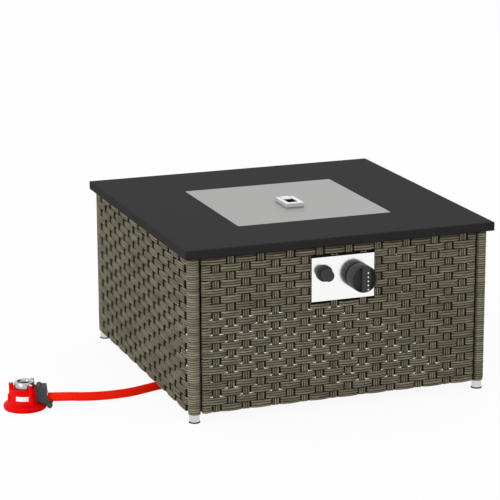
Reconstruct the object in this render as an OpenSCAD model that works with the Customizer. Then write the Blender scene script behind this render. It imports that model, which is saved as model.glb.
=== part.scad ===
// Gas fire pit table: a square steel top on a woven box that stands on four feet, with a lidded
// burner pan in the middle, a knob and an igniter button on the front, and a hose that runs out
// under the left side to a clip-on regulator. Sizes are millimetres, +Z is up, -Y is the front.
// The origin is on the floor, in the middle of the table's bounding box, hose and regulator aside.

/* [Table top] */
// Side of the square top
top_side = 700; // [640:10:900]
// Height of the top's upper face above the floor
table_h = 376; // [350:1:480]
// Depth of the top's folded edge
top_depth = 20; // [16:1:30]
// Thickness of the top's sheet steel
top_sheet = 2; // [1:0.5:3]
// Radius of the top's edges and corners
top_edge_r = 4; // [2:0.5:6]
// Width of the lip folded in under the edge
top_lip = 25; // [18:1:40]
// Land of the plate in each corner of the lip, inside its screw
corner_land = 30; // [15:1:40]
// Overhang of the top past the woven body
top_overhang = 10; // [5:1:30]

/* [Lid and handle] */
// Side of the square lid
lid_side = 355; // [300:5:400]
// Gap between the lid and the edge of the opening
lid_gap = 1.5; // [1:0.5:4]
// Thickness of the lid's sheet
lid_sheet = 1.5; // [1:0.1:2]
// Width of the ledge that the lid rests on
lid_seat = 9.5; // [6:0.5:15]
// Depth of the rim turned down under the lid
lid_rim = 10; // [6:1:20]
// Width of the folding handle
handle_w = 42; // [40:1:60]
// Length of the folding handle
handle_l = 72; // [66:1:100]
// Height of the folding handle's bars
handle_h = 8.5; // [6:0.5:9]
// Width of the handle's side bars
handle_bar = 9.5; // [8:0.5:11.5]
// Width of the handle's grip bar
handle_grip = 13; // [10:1:20]
// Length of the handle's fixed base
handle_base_l = 26; // [22:1:30]
// Distance of the handle's middle in front of the lid's middle
handle_forward = 22; // [0:1:40]
// Diameter of the handle's hinge pin
handle_pin_d = 3; // [2:0.5:4]

/* [Burner] */
// Distance of the burner and its lid to the right of the top's middle
burner_right = 2; // [-20:1:20]
// Distance of the burner and its lid in front of the top's middle
burner_forward = 9; // [-20:1:20]
// Depth of the burner pan below its flange
pan_depth = 70; // [60:1:90]
// Thickness of the pan's sheet
pan_sheet = 1.5; // [1:0.1:2]
// Width of the pan's flange
pan_flange = 30; // [24:1:40]
// Diameter of the screws that hold the pan
pan_stud_d = 5; // [4:0.5:6]
// Mean diameter of the burner ring
ring_d = 200; // [160:5:230]
// Width of the burner ring
ring_w = 24; // [18:1:30]
// Height of the burner ring
ring_h = 16; // [12:1:20]
// Height of the burner ring above the pan's floor
ring_lift = 8; // [5:1:14]
// Wall of the burner's sheet
burner_wall = 1.2; // [1:0.1:2]
// Diameter of a flame port
port_d = 2.4; // [1.5:0.1:4]
// Number of flame ports
port_count = 24; // [12:4:36]
// Outer diameter of the burner's gas inlet tube
inlet_d = 24; // [20:1:28]
// Diameter of the spark electrode's ceramic
ceramic_d = 7; // [5:0.5:9]
// Diameter of the thermocouple's probe
probe_d = 6; // [4:0.5:8]

/* [Body] */
// Height of the feet
foot_h = 20; // [19:1:40]
// Diameter of the round post tube
post_d = 25; // [20:1:35]
// Wall of the steel tubes
tube_wall = 1.5; // [1:0.1:2.5]
// Thickness of the strands wound round the posts
wrap_t = 1.5; // [1:0.1:3]
// Thickness of the woven panels
weave_t = 9; // [7:0.5:11]
// Rows of bands in a woven panel
weave_rows = 20; // [12:2:28]
// Upright stakes in the front and the back panel
front_stakes = 18; // [14:2:20]
// Upright stakes in a side panel
side_stakes = 19; // [15:2:21]
// Width of an upright stake
stake_w = 17; // [12:1:19]
// Depth of the stakes behind the bands' outer faces
stake_depth = 3.9; // [2:0.1:4.5]
// Side of the square tube in the panel frames
panel_tube = 15; // [13:1:18]
// Height of the rails between the posts
rail_h = 20; // [16:1:30]
// Gap between a front or back panel and the posts
panel_gap = 2; // [1:0.5:4]
// Diameter of the bolts between panels and posts
bolt_d = 6; // [5:0.5:8]
// Diameter of a foot
foot_d = 22; // [18:1:28]
// Diameter of a foot's pad
pad_d = 24; // [20:1:30]
// Thickness of a foot's pad
pad_t = 2; // [1:0.5:4]
// Diameter of a foot's threaded stud
foot_stud_d = 8; // [6:1:10]

/* [Control plate] */
// Width of the control plate
plate_w = 142; // [140:1:170]
// Height of the control plate
plate_h = 95; // [90:1:115]
// Distance of the plate's middle to the right of the table's middle
plate_x = 2; // [-40:1:40]
// Distance of the plate's middle below the underside of the top
plate_drop = 71; // [66:1:85]
// Thickness of the plate's sheet
plate_sheet = 1.5; // [1:0.1:2]
// Gap between the plate and the edge of its opening in the weave
plate_gap = 3; // [2:0.5:5]
// Thickness of the control box's sheet
box_sheet = 2; // [1.5:0.1:3]
// Depth of the control box's side flanges
box_depth = 28; // [24:1:40]

/* [Knob and valve] */
// Distance of the knob to the right of the plate's middle
knob_dx = 35; // [30:1:42]
// Distance of the knob above the plate's middle
knob_dz = 0; // [-12:1:12]
// Diameter of the knob
knob_d = 58; // [44:1:62]
// Length of the knob
knob_l = 30.5; // [26:0.5:40]
// Gap between the knob and the plate
knob_gap = 3.5; // [3.2:0.1:6]
// Width of the ridge across the knob's face
ridge_w = 18; // [9:1:24]
// Distance of the ridge to the right of the knob's middle
ridge_dx = 4; // [-6:1:6]
// Depth of the two scoops beside the ridge
scoop_depth = 10; // [5:1:12]
// Rim left outside the scoops
scoop_rim = 2.5; // [2:0.5:4]
// Diameter of the valve's spindle
spindle_d = 8; // [6:0.5:9]
// Width of the valve's body
valve_w = 30; // [26:1:36]
// Height of the valve's body
valve_h = 36; // [30:1:44]
// Depth of the valve's body
valve_l = 40; // [32:1:50]

/* [Igniter] */
// Distance of the igniter to the left of the plate's middle
igniter_dx = 43; // [40:1:52]
// Distance of the igniter above the plate's middle
igniter_dz = 13; // [-15:1:18]
// Diameter of the igniter's barrel
barrel_d = 22; // [20:1:24]
// Length of the igniter's barrel behind the plate
barrel_l = 58; // [54:1:70]
// Diameter of the bezel
bezel_d = 35; // [27:1:38]
// Height of the bezel
bezel_h = 5; // [3:0.5:7]
// Diameter of the button's cap
cap_d = 24; // [20:1:28]
// Height of the button's cap
cap_h = 18; // [5:0.5:22]
// Diameter of the button's stem
stem_d = 16; // [13:0.5:17]
// Travel of the button
button_travel = 4; // [2:0.5:4.5]

/* [Hose] */
// Outer diameter of the gas hose
hose_d = 19; // [14:1:19]
// Diameter of the hose tails inside the hose
tail_d = 10; // [7:0.5:12]
// Diameter of the gas pipe to the burner
pipe_d = 8; // [6:0.5:10]

/* [Regulator] */
// Radius of the regulator's foot
bell_r = 46; // [42:1:50]
// Radius of the regulator's upper body
neck_r = 29.5; // [28:0.5:31]
// Height of the regulator's body
bell_h = 44; // [42:1:48]
// Thickness of the cover under the regulator
cover_t = 4; // [3:0.5:5]
// Outer radius of the socket ring
socket_r = 21.5; // [19:0.5:22]
// Bore radius of the socket ring
socket_bore_r = 13.5; // [10:0.5:15]
// Length of the socket ring
socket_l = 15.5; // [12:0.5:20]
// Radius of the three guard posts
guard_r = 5; // [4:0.5:5.5]
// Height of the guard posts above the floor
guard_h = 55; // [48:1:60]
// Width of the locking lever
lever_w = 31; // [30:0.5:36]
// Thickness of the lever's two cheeks
lever_cheek = 4; // [3:0.5:4.5]
// Diameter of the lever's pin
lever_pin_d = 4; // [3:0.5:5]

/* [Hidden] */
$fn = 48;

// Clearances: a running fit, a loose hole for a screw, and the gap between moving pieces
run_fit = 0.05;
loose = 0.3;
apart = 0.5;
// Overshoot of a cut past the face that it opens
over = 1;
// Segments in a rounded corner of an outline
corner_steps = 5;

// Heights
body_top = table_h - top_depth;
sheet_z = table_h - top_sheet;
pan_floor = sheet_z - pan_depth;
pan_under = pan_floor - pan_sheet;
lid_top = sheet_z + lid_sheet;

// Places across the table, measured from its middle
half = top_side / 2 - top_overhang;
post_out = half - wrap_t;
post_in = post_out - post_d;
post_c = post_out - post_d / 2;
wrap_in = post_in - wrap_t;
weave_in = half - weave_t;
tube_in = weave_in - panel_tube;
tube_c = weave_in - panel_tube / 2;
panel_x = wrap_in - panel_gap;
// Distance of the outermost stakes from the ends of a panel
front_margin = 29.5;
side_margin = 18.6;
// Slope at the ends of a band's pad, the groove between two rows, and a pad's root in the slab
pad_slope = 5.5;
row_groove = 0.4;
pad_root = 0.5;
knob_front = half + knob_gap + knob_l;
// The table's middle lies this far behind the origin
frame_y = (knob_front - top_side / 2) / 2;

// Burner pan and lid
opening = lid_side + 2 * lid_gap;
burner_at = [burner_right, -burner_forward, 0];
pan_side = lid_side - 2 * lid_seat;
pan_outer = pan_side + 2 * pan_sheet;
flange_side = pan_outer + 2 * pan_flange;
stud_row = opening / 2 + (flange_side - opening) / 4;
stud_step = pan_side / 4;
stud_l = 14;
nut_h = 4;

// Corner fixing of the top
gusset = 45;
gusset_t = 4;
gusset_x = tube_in - gusset / 2;
gusset_y = post_in - gusset / 2;
top_screw_d = 6;
top_screw_l = 10;
screw_head_h = 4;

// Panel bolts
bolt_rise = 60;
bolt_zs = [foot_h + bolt_rise, body_top - bolt_rise];
bolt_nut_l = 8;
bolt_nut_side = bolt_d + 6;

// Handle
handle_far = handle_l / 2 - handle_forward;
handle_near = handle_far - handle_l;
handle_end_r = handle_h / 2;
handle_lift = apart;
handle_pin_y = handle_far - handle_end_r;
handle_pin_z = lid_top + handle_lift + handle_end_r;
handle_side_gap = 1.5;
handle_base_w = handle_w - 2 * handle_bar - 2 * handle_side_gap;
handle_screw_d = 4;
handle_screw_ys = [handle_far - handle_base_l + 5, handle_far - 13];

// Feet
foot_stud_l = 12;
wrap_drop = 1.6;
plug_h = 15;
pad_spigot_d = 10;
pad_spigot_h = 3;

// Control plate and box
plate_z = body_top - plate_drop;
face_y = -half;
box_y = -weave_in;
box_back = box_y + box_sheet;
box_w = plate_w + 15;
box_h = plate_h + 17;
plate_stud_d = 4;
plate_stud_x = plate_w / 2 - 8;
plate_stud_z = plate_h / 2 - 8;
plate_nut_h = 3;
box_screw_d = 4;
box_screw_z = box_h / 2 - 18;

// Valve
knob_x = plate_x + knob_dx;
knob_z = plate_z + knob_dz;
knob_back = face_y - knob_gap;
bush_r = spindle_d / 2 + 3;
bush_l = 5;
bush_front = box_back - bush_l;
seat_r = spindle_d / 2 + 1.5;
seat_h = 1.5;
seat_pocket = 9;
spring_wire = 0.9;
valve_spring_l = 7;
valve_nut_h = 3;
valve_back = box_back + valve_l;
valve_mid = box_back + valve_l / 2;
valve_bottom = knob_z - valve_h / 2;
boss_l = 12;
boss_r = 9;
outlet_drop = 8;
outlet_z = knob_z - outlet_drop;
outlet_l = 10;
probe_port_dx = 8;
probe_port_dz = 10;
probe_port = [knob_x + probe_port_dx, knob_z + probe_port_dz];
probe_port_l = 6;
pipe_nut_l = 10;
spindle_bore_l = 20;

// Igniter
ign_x = plate_x - igniter_dx;
ign_z = plate_z + igniter_dz;
bezel_front = face_y - bezel_h;
cap_back = bezel_front - button_travel - apart;
barrel_back = face_y + barrel_l;
stem_bore_l = 14;
cell_d = 10.5;
cell_l = 43;
ledge_y = bezel_front + stem_bore_l;
cell_back = ledge_y + 0.5 + cell_l;
igniter_spring_l = 7;
terminal_l = 6;
terminal_d = 6;

// Burner
ring_z = pan_floor + ring_lift;
ring_in = ring_d / 2 - ring_w / 2;
ring_out = ring_d / 2 + ring_w / 2;
inlet_bottom = pan_under - 14;
inlet_bore = inlet_d / 2 - 3;
jet_hex_r = inlet_d / 2 + 1;
jet_hex_h = 12;
jet_bottom = inlet_bottom - jet_hex_h;
burner_bolt_d = 5;
pilot_y = -(ring_out + 8);
electrode_x = -12;
probe_x = 12;
pilot_plate_z = pan_floor + 16;
probe_bottom = pan_under - 8;
probe_rise = 6;
probe_tip = 18;
ceramic_rise = 10;
spark_tip = 24;
lead_d = 3;
capillary_d = 2.5;
lead_straight = 8;
lead_sag = 14;
lead_bow = 7;
pipe_straight = 12;
pipe_sag = 42;

// Hose: route of its centre from the valve to the regulator, from the table's middle
fitting_h = 12;
tail_l = 30;
clamp_t = 1;
hose_start = [knob_x, valve_mid, valve_bottom - boss_l - fitting_h];
hose_drops = [0, 18, 38, 77];
hose_floor = [[33, -305, 112], [18, -290, 62], [-7, -263, 28], [-40, -228, 12.8], [-72, -188, 10.1],
    [-105, -146, 9.7], [-145, -110, 9.7], [-195, -87, 9.7], [-245, -79, 9.7], [-295, -84, 9.7],
    [-335, -95, 9.7], [-370, -107, 9.7], [-403, -117.5, 10.1], [-444, -124.5, 11.7], [-479.5, -128, 14],
    [-509.5, -129.5, 17], [-534.5, -129, 20], [-554.5, -127, 21.5], [-571, -123.5, 22]];
hose_steps = 3;
hose_sides = 12;

// Regulator: its place on the floor and the way that its outlet points
reg_at = [-632, -104];
reg_turn = -18;
outlet_h = 22;
nozzle_from = 33;
nozzle_flange = 3;
nozzle_tail_l = 24;
function from_outlet(d) = [reg_at[0] + d * cos(reg_turn), reg_at[1] + d * sin(reg_turn), outlet_h];
hose_end = nozzle_from + nozzle_flange;
hose_route = concat([for (drop = hose_drops) hose_start - [0, 0, drop]], hose_floor,
    [for (d = [16, 8, 0]) from_outlet(hose_end + d)]);
bell_shoulder = [[0, 0], [0, 3], [-1.5, 5.5], [-6, 7.5], [-12, 9.5], [-14.5, 12], [-15.5, 16]];
cavity_h = 5;
guard_ring = neck_r - 1;
guard_foot = cover_t + 8;
guard_step = 30;
seal_h = 3;
socket_flare = 2.5;
seal_r = socket_bore_r - 1.5;
seat_z = bell_h - 1;
pivot = [53.5, 8.3];
pivot_boss_r = 6;
lug_from = 20;
lug_rise = 2.8;
lug_half = lever_w / 2 - lever_cheek - apart;
lever_slot_top = 36;
lever_in = socket_r + 2.5;
lever_slot_floor = 11;
lever_side = [[0, 18], [0, 47], [2.5, 51], [8.5, 51.5], [11.5, 48.5], [22, 48.5], [24, 30]];

// Points of a rounded square, anticlockwise
function corner_arc(c, r, a0) =
    [for (i = [0:corner_steps]) let (a = a0 + 90 * i / corner_steps)
        [c[0] + r * cos(a), c[1] + r * sin(a)]];
function rounded(w, h, r) = concat(
    corner_arc([w / 2 - r, h / 2 - r], r, 0), corner_arc([r - w / 2, h / 2 - r], r, 90),
    corner_arc([r - w / 2, r - h / 2], r, 180), corner_arc([w / 2 - r, r - h / 2], r, 270));

// A curve through the points of a route, with n steps between neighbours
function curve_at(a, b, c, d, t) = 0.5 * (2 * b + (c - a) * t
    + (2 * a - 5 * b + 4 * c - d) * t * t + (3 * b - a - 3 * c + d) * t * t * t);
function curve(p, n) = let (m = len(p) - 1) concat(
    [for (i = [0:m - 1]) for (k = [0:n - 1])
        curve_at(p[max(i - 1, 0)], p[i], p[i + 1], p[min(i + 2, m)], k / n)], [p[m]]);
function unit(v) = v / norm(v);
function heading(p, i) = unit(p[min(i + 1, len(p) - 1)] - p[max(i - 1, 0)]);
// One normal per point, each carried on from the last with no twist
function normals(p, n, i = 0) = i == len(p) ? []
    : let (t = heading(p, i), m = unit(n - (n * t) * t)) concat([m], normals(p, m, i + 1));
// A spring's centre line along +Y from y0, with its turns closed by nothing
function spring_line(c, r, y0, l, turns, steps) =
    [for (i = [0:turns * steps]) let (a = 360 * i / steps)
        [c[0] + r * cos(a), y0 + l * i / (turns * steps), c[1] + r * sin(a)]];
// Least distance between points at least half a turn apart, less the wire
function least_gap(p, wire, steps) = min([for (i = [0:len(p) - 1])
    for (j = [i + steps / 2:1:len(p) - 1]) norm(p[i] - p[j])]) - wire;

// Box between two limits on each axis
module span(x, y, z)
    translate([x[0], y[0], z[0]]) cube([x[1] - x[0], y[1] - y[0], z[1] - z[0]]);
// Cylinders along X and along Y, from one end to the other
module rod_x(x, y, z, r)
    translate([x[0], y, z]) rotate([0, 90, 0]) cylinder(h = x[1] - x[0], r = r);
module rod_y(x, y, z, r)
    translate([x, y[0], z]) rotate([-90, 0, 0]) cylinder(h = y[1] - y[0], r = r);
// Moves a piece from the table's middle to the shared frame
module placed() translate([0, frame_y, 0]) children();
// Moves a piece from the burner's middle to the shared frame
module over_burner() placed() translate(burner_at) children();
// Copies a piece from the right-hand back corner to all four corners
module corners()
    for (sx = [0, 1], sy = [0, 1]) mirror([sx, 0, 0]) mirror([0, sy, 0]) children();
// Puts a piece in the regulator's own frame, with its outlet along X
module on_regulator() placed() translate([reg_at[0], reg_at[1], 0]) rotate([0, 0, reg_turn]) children();
// A round tube, cable or wire along a line of points
module sweep(p, d, sides, start) {
    ns = normals(p, start);
    last = len(p) - 1;
    points = [for (i = [0:last]) let (b = cross(heading(p, i), ns[i])) for (k = [0:sides - 1])
        let (a = 360 * k / sides) p[i] + d / 2 * (cos(a) * ns[i] + sin(a) * b)];
    wall = [for (i = [0:last - 1]) for (k = [0:sides - 1]) let (j = (k + 1) % sides, s = i * sides)
        each [[s + k, s + sides + k, s + j], [s + j, s + sides + k, s + sides + j]]];
    first_cap = [for (k = [1:sides - 2]) [0, k, k + 1]];
    end = last * sides;
    last_cap = [for (k = [1:sides - 2]) [end, end + k + 1, end + k]];
    polyhedron(points, concat(first_cap, wall, last_cap));
}

// Folded sheet top with the opening for the pan, corner plates and threaded studs
module top_edge() {
    profile = [for (q = rounded(top_side, top_depth, top_edge_r)) [q[0], q[1] + table_h - top_depth / 2]];
    intersection() {
        translate([0, top_side / 2, 0]) rotate([90, 0, 0]) linear_extrude(top_side) polygon(profile);
        translate([-top_side / 2, 0, 0]) rotate([90, 0, 90]) linear_extrude(top_side) polygon(profile);
        translate([0, 0, body_top - over]) linear_extrude(top_depth + 2 * over)
            polygon(rounded(top_side, top_side, top_edge_r));
    }
}
module pan_studs() for (turn = [0:3], i = [-1, 1]) rotate([0, 0, 90 * turn])
    translate([stud_row, i * stud_step, 0]) children();
module tabletop() color("#3e3e3e") placed() {
    inner = top_side / 2 - top_sheet;
    lip = top_side / 2 - top_lip;
    plate_in = min(gusset_x, gusset_y) - corner_land;
    difference() {
        top_edge();
        span([-inner, inner], [-inner, inner], [body_top + top_sheet, sheet_z]);
        span([-lip, lip], [-plate_in, plate_in], [body_top - over, body_top + top_sheet + over]);
        span([-plate_in, plate_in], [-lip, lip], [body_top - over, body_top + top_sheet + over]);
        translate(burner_at)
            span([-opening / 2, opening / 2], [-opening / 2, opening / 2], [sheet_z - over, table_h + over]);
        corners() translate([gusset_x, gusset_y, body_top - over])
            cylinder(h = top_sheet + 2 * over, d = top_screw_d + 2 * run_fit);
    }
    translate(burner_at) pan_studs() translate([0, 0, sheet_z - stud_l])
        cylinder(h = stud_l, d = pan_stud_d);
}
module tabletop_screws() color("#9a9a9a") placed() corners() translate([gusset_x, gusset_y, 0]) {
    under = body_top - gusset_t;
    translate([0, 0, under]) cylinder(h = top_screw_l, d = top_screw_d);
    translate([0, 0, under - screw_head_h]) cylinder(h = screw_head_h, d = 1.7 * top_screw_d, $fn = 6);
}

// Lid with a rim that locates it in the pan
module burner_lid() color("#acacaa") over_burner() {
    rim = pan_side / 2 - lid_gap;
    difference() {
        translate([0, 0, sheet_z]) linear_extrude(lid_sheet) polygon(rounded(lid_side, lid_side, top_edge_r));
        for (y = handle_screw_ys) translate([0, y, sheet_z - over])
            cylinder(h = lid_sheet + 2 * over, d = handle_screw_d + loose);
    }
    difference() {
        span([-rim, rim], [-rim, rim], [sheet_z - lid_rim, sheet_z]);
        span([lid_sheet - rim, rim - lid_sheet], [lid_sheet - rim, rim - lid_sheet],
            [sheet_z - lid_rim - over, sheet_z + over]);
    }
}
module lid_handle_base() color("#d8d8d8") over_burner() difference() {
    span([-handle_base_w / 2, handle_base_w / 2], [handle_far - handle_base_l, handle_far],
        [lid_top, lid_top + handle_lift + handle_h]);
    rod_x([-handle_w, handle_w], handle_pin_y, handle_pin_z, handle_pin_d / 2 + run_fit);
    for (y = handle_screw_ys) translate([0, y, lid_top - over])
        cylinder(h = handle_h - 1 + over, d = handle_screw_d + 2 * run_fit);
}
module lid_handle_ring() color("#e2e2e2") over_burner() {
    z = [lid_top + handle_lift, lid_top + handle_lift + handle_h];
    difference() {
        union() {
            for (s = [0, 1]) mirror([s, 0, 0]) {
                x = [handle_w / 2 - handle_bar, handle_w / 2];
                span(x, [handle_near, handle_pin_y], z);
                rod_x(x, handle_pin_y, handle_pin_z, handle_end_r);
            }
            span([-handle_w / 2, handle_w / 2], [handle_near, handle_near + handle_grip], z);
        }
        rod_x([-handle_w, handle_w], handle_pin_y, handle_pin_z, handle_pin_d / 2 + run_fit);
    }
}
module lid_handle_pin() color("#b8b8b8") over_burner()
    rod_x([-handle_w / 2, handle_w / 2], handle_pin_y, handle_pin_z, handle_pin_d / 2);
module lid_handle_screws() color("#9a9a9a") over_burner() for (y = handle_screw_ys) translate([0, y, 0]) {
    translate([0, 0, sheet_z]) cylinder(h = lid_sheet + handle_h - 2, d = handle_screw_d);
    translate([0, 0, sheet_z - screw_head_h / 2]) cylinder(h = screw_head_h / 2, d = 2 * handle_screw_d);
}

// Pan that hangs under the top, with holes for its studs, the burner and the pilot
module burner_bolt_places() for (a = [45:90:315]) rotate([0, 0, a]) translate([ring_d / 2, 0, 0]) children();
module burner_pan() color("#2c2c2c") over_burner() {
    w = pan_outer / 2;
    i = pan_side / 2;
    f = flange_side / 2;
    difference() {
        union() {
            span([-w, w], [-w, w], [pan_under, sheet_z]);
            span([-f, f], [-f, f], [sheet_z - pan_sheet, sheet_z]);
        }
        span([-i, i], [-i, i], [pan_floor, sheet_z + over]);
        pan_studs() translate([0, 0, sheet_z - pan_sheet - over])
            cylinder(h = pan_sheet + 2 * over, d = pan_stud_d + loose);
        translate([0, 0, pan_under - over]) {
            cylinder(h = pan_sheet + 2 * over, d = inlet_d + 2 * loose);
            burner_bolt_places() cylinder(h = pan_sheet + 2 * over, d = burner_bolt_d + loose);
            translate([electrode_x, pilot_y, 0]) cylinder(h = pan_sheet + 2 * over, d = ceramic_d + loose);
            translate([probe_x, pilot_y, 0]) cylinder(h = pan_sheet + 2 * over, d = probe_d + loose);
        }
    }
}
module pan_nuts() color("#9a9a9a") over_burner() pan_studs()
    translate([0, 0, sheet_z - pan_sheet - nut_h]) difference() {
        cylinder(h = nut_h, d = 2 * pan_stud_d, $fn = 6);
        translate([0, 0, -over]) cylinder(h = nut_h + 2 * over, d = pan_stud_d + 2 * run_fit);
    }

// Hollow burner ring on four legs, with a cross tube and the gas inlet
module burner() color("#7d7d7b") over_burner() {
    bar = ring_h;
    w = burner_wall;
    leg_r = burner_bolt_d / 2 + 3;
    difference() {
        union() {
            translate([0, 0, ring_z]) rotate_extrude()
                translate([ring_in, 0]) square([ring_w, ring_h]);
            span([-ring_d / 2, ring_d / 2], [-bar / 2, bar / 2], [ring_z, ring_z + ring_h]);
            translate([0, 0, inlet_bottom]) cylinder(h = ring_z + w - inlet_bottom, d = inlet_d);
            burner_bolt_places() translate([0, 0, pan_floor]) cylinder(h = ring_lift + w, r = leg_r);
        }
        translate([0, 0, ring_z + w]) rotate_extrude()
            translate([ring_in + w, 0]) square([ring_w - 2 * w, ring_h - 2 * w]);
        span([-ring_d / 2, ring_d / 2], [w - bar / 2, bar / 2 - w], [ring_z + w, ring_z + ring_h - w]);
        translate([0, 0, inlet_bottom - over])
            cylinder(h = ring_z + 2 * w + over - inlet_bottom, r = inlet_bore);
        for (a = [0, 90]) rotate([0, 0, a]) rod_x([-inlet_d, inlet_d], 0, pan_under - 6, 3.5);
        burner_bolt_places() translate([0, 0, pan_floor - over])
            cylinder(h = ring_lift + 2 * w + over, d = burner_bolt_d + 2 * run_fit);
        for (k = [0:port_count - 1]) rotate([0, 0, 360 * (k + 0.5) / port_count])
            translate([ring_d / 2, 0, ring_z + ring_h - w - over]) cylinder(h = w + 2 * over, d = port_d);
    }
}
module burner_bolts() color("#9a9a9a") over_burner() burner_bolt_places() translate([0, 0, pan_under]) {
    cylinder(h = pan_sheet + ring_lift + burner_wall + 2, d = burner_bolt_d);
    translate([0, 0, -screw_head_h]) cylinder(h = screw_head_h, d = 1.7 * burner_bolt_d, $fn = 6);
}
module gas_jet() color("#b08d4a") over_burner() translate([0, 0, jet_bottom]) difference() {
    union() {
        cylinder(h = jet_hex_h, r = jet_hex_r, $fn = 6);
        cylinder(h = jet_hex_h + 3, r = inlet_bore - run_fit);
    }
    translate([0, 0, -over]) cylinder(h = jet_hex_h - 4 + over, d = pipe_d + 2 * run_fit);
    cylinder(h = jet_hex_h + 3 + over, d = 1.5);
}

// Pilot: a bracket in the pan holds the spark electrode and the thermocouple
module pilot_bracket() color("#8a8a88") over_burner() {
    t = pan_sheet;
    x = [electrode_x - 10, probe_x + 10];
    front = pilot_y - 9;
    difference() {
        union() {
            span(x, [front, pilot_y + 6], [pilot_plate_z, pilot_plate_z + t]);
            span(x, [front - t, front], [pan_floor, pilot_plate_z + t]);
            span(x, [front - 12, front], [pan_floor, pan_floor + t]);
        }
        translate([electrode_x, pilot_y, pilot_plate_z - over])
            cylinder(h = t + 2 * over, d = ceramic_d + 2 * run_fit);
        translate([probe_x, pilot_y, pilot_plate_z - over])
            cylinder(h = t + 2 * over, d = probe_d + 2 * run_fit);
    }
}
module spark_electrode() color("#e6e2d8") over_burner() translate([electrode_x, pilot_y, probe_bottom]) {
    cylinder(h = pilot_plate_z + ceramic_rise - probe_bottom, d = ceramic_d);
    cylinder(h = pilot_plate_z + spark_tip - probe_bottom, d = ceramic_d / 4);
}
module thermocouple() color("#a8683f") over_burner() translate([probe_x, pilot_y, probe_bottom]) {
    cylinder(h = pilot_plate_z + probe_rise - probe_bottom, d = probe_d);
    cylinder(h = pilot_plate_z + probe_tip - probe_bottom, d = 0.7 * probe_d);
}
// A lead that leaves the controls straight back, sags and rises straight into the pilot
module pilot_lead(from, to, bow, d) {
    back = [0, lead_straight, 0];
    up = [0, 0, lead_straight];
    sweep(curve([from, from + back, from + 2 * back, (from + to) / 2 + [bow, 0, -lead_sag],
        to - 2 * up, to - up, to], 5), d, 8, [1, 0, 0]);
}
module thermocouple_lead() color("#b5713f") placed()
    pilot_lead([probe_port[0], valve_back + probe_port_l, probe_port[1]],
        burner_at + [probe_x, pilot_y, probe_bottom], lead_bow, capillary_d);
module ignition_lead() color("#1d1d1d") placed()
    pilot_lead([ign_x, barrel_back + terminal_l, ign_z],
        burner_at + [electrode_x, pilot_y, probe_bottom], -lead_bow, lead_d);

// Side frame: two round posts, two rails, corner gussets and weld nuts, in one weldment
module posts() for (s = [-1, 1]) translate([post_c, s * post_c, 0]) children();
module side_frame() {
    rails = [foot_h, body_top - rail_h];
    w = tube_wall;
    difference() {
        union() {
            posts() translate([0, 0, foot_h]) cylinder(h = body_top - foot_h, d = post_d);
            for (z = rails) span([tube_in, weave_in], [-post_c, post_c], [z, z + rail_h]);
            for (s = [0, 1]) mirror([0, s, 0]) span([tube_in - gusset, tube_in],
                [post_in - gusset, wrap_in - loose], [body_top - gusset_t, body_top]);
        }
        posts() translate([0, 0, foot_h - over])
            cylinder(h = body_top - foot_h + 2 * over, d = post_d - 2 * w);
        for (z = rails) span([tube_in + w, weave_in - w], [-post_c, post_c], [z + w, z + rail_h - w]);
        for (s = [-1, 1], z = bolt_zs)
            rod_x([post_in - over, post_c], s * tube_c, z, bolt_d / 2 + run_fit);
        for (s = [-1, 1]) translate([gusset_x, s * gusset_y, body_top - gusset_t - over])
            cylinder(h = gusset_t + 2 * over, d = top_screw_d + loose);
    }
    for (s = [-1, 1], z = bolt_zs) difference() {
        b = bolt_nut_side / 2;
        x = post_in + w;
        intersection() {
            span([x, x + bolt_nut_l], [s * tube_c - b, s * tube_c + b], [z - b, z + b]);
            translate([post_c, s * post_c, z - b]) cylinder(h = bolt_nut_side, d = post_d - w);
        }
        rod_x([x - over, x + bolt_nut_l + over], s * tube_c, z, bolt_d / 2 + run_fit);
    }
}
module left_frame() color("#20211f") placed() mirror([1, 0, 0]) side_frame();
module right_frame() color("#20211f") placed() side_frame();

// Panel frame at the back, and the same at the front with stiles beside the control box
module panel_frame() {
    w = tube_wall;
    t = panel_tube;
    y = [tube_in, weave_in];
    hollow = [tube_in + w, weave_in - w];
    x = panel_x;
    difference() {
        span([-x, x], y, [foot_h, body_top]);
        span([t - x, x - t], [tube_in - over, weave_in + over], [foot_h + t, body_top - t]);
        for (z = [foot_h, body_top - t]) span([w - x, x - w], hollow, [z + w, z + t - w]);
        for (s = [0, 1]) mirror([s, 0, 0]) {
            span([x - t + w, x - w], hollow, [foot_h + w, body_top - w]);
            for (z = bolt_zs) rod_x([x - t - over, x + over], tube_c, z, (bolt_d + loose) / 2);
        }
    }
}
module stile(side) {
    w = tube_wall;
    t = panel_tube;
    edge = plate_x + side * box_w / 2;
    x = side > 0 ? [edge, edge + t] : [edge - t, edge];
    z = [foot_h + t, body_top - t];
    difference() {
        span(x, [-weave_in, -tube_in], z);
        span([x[0] + w, x[1] - w], [w - weave_in, -tube_in - w], [z[0] - over, z[1] + over]);
        for (s = [-1, 1]) rod_x([edge - w - over, edge + w + over], -tube_c, plate_z + s * box_screw_z,
            box_screw_d / 2 + run_fit);
    }
}
module front_frame() color("#20211f") placed() {
    mirror([0, 1, 0]) panel_frame();
    for (side = [-1, 1]) stile(side);
}
module back_frame() color("#20211f") placed() panel_frame();

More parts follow.
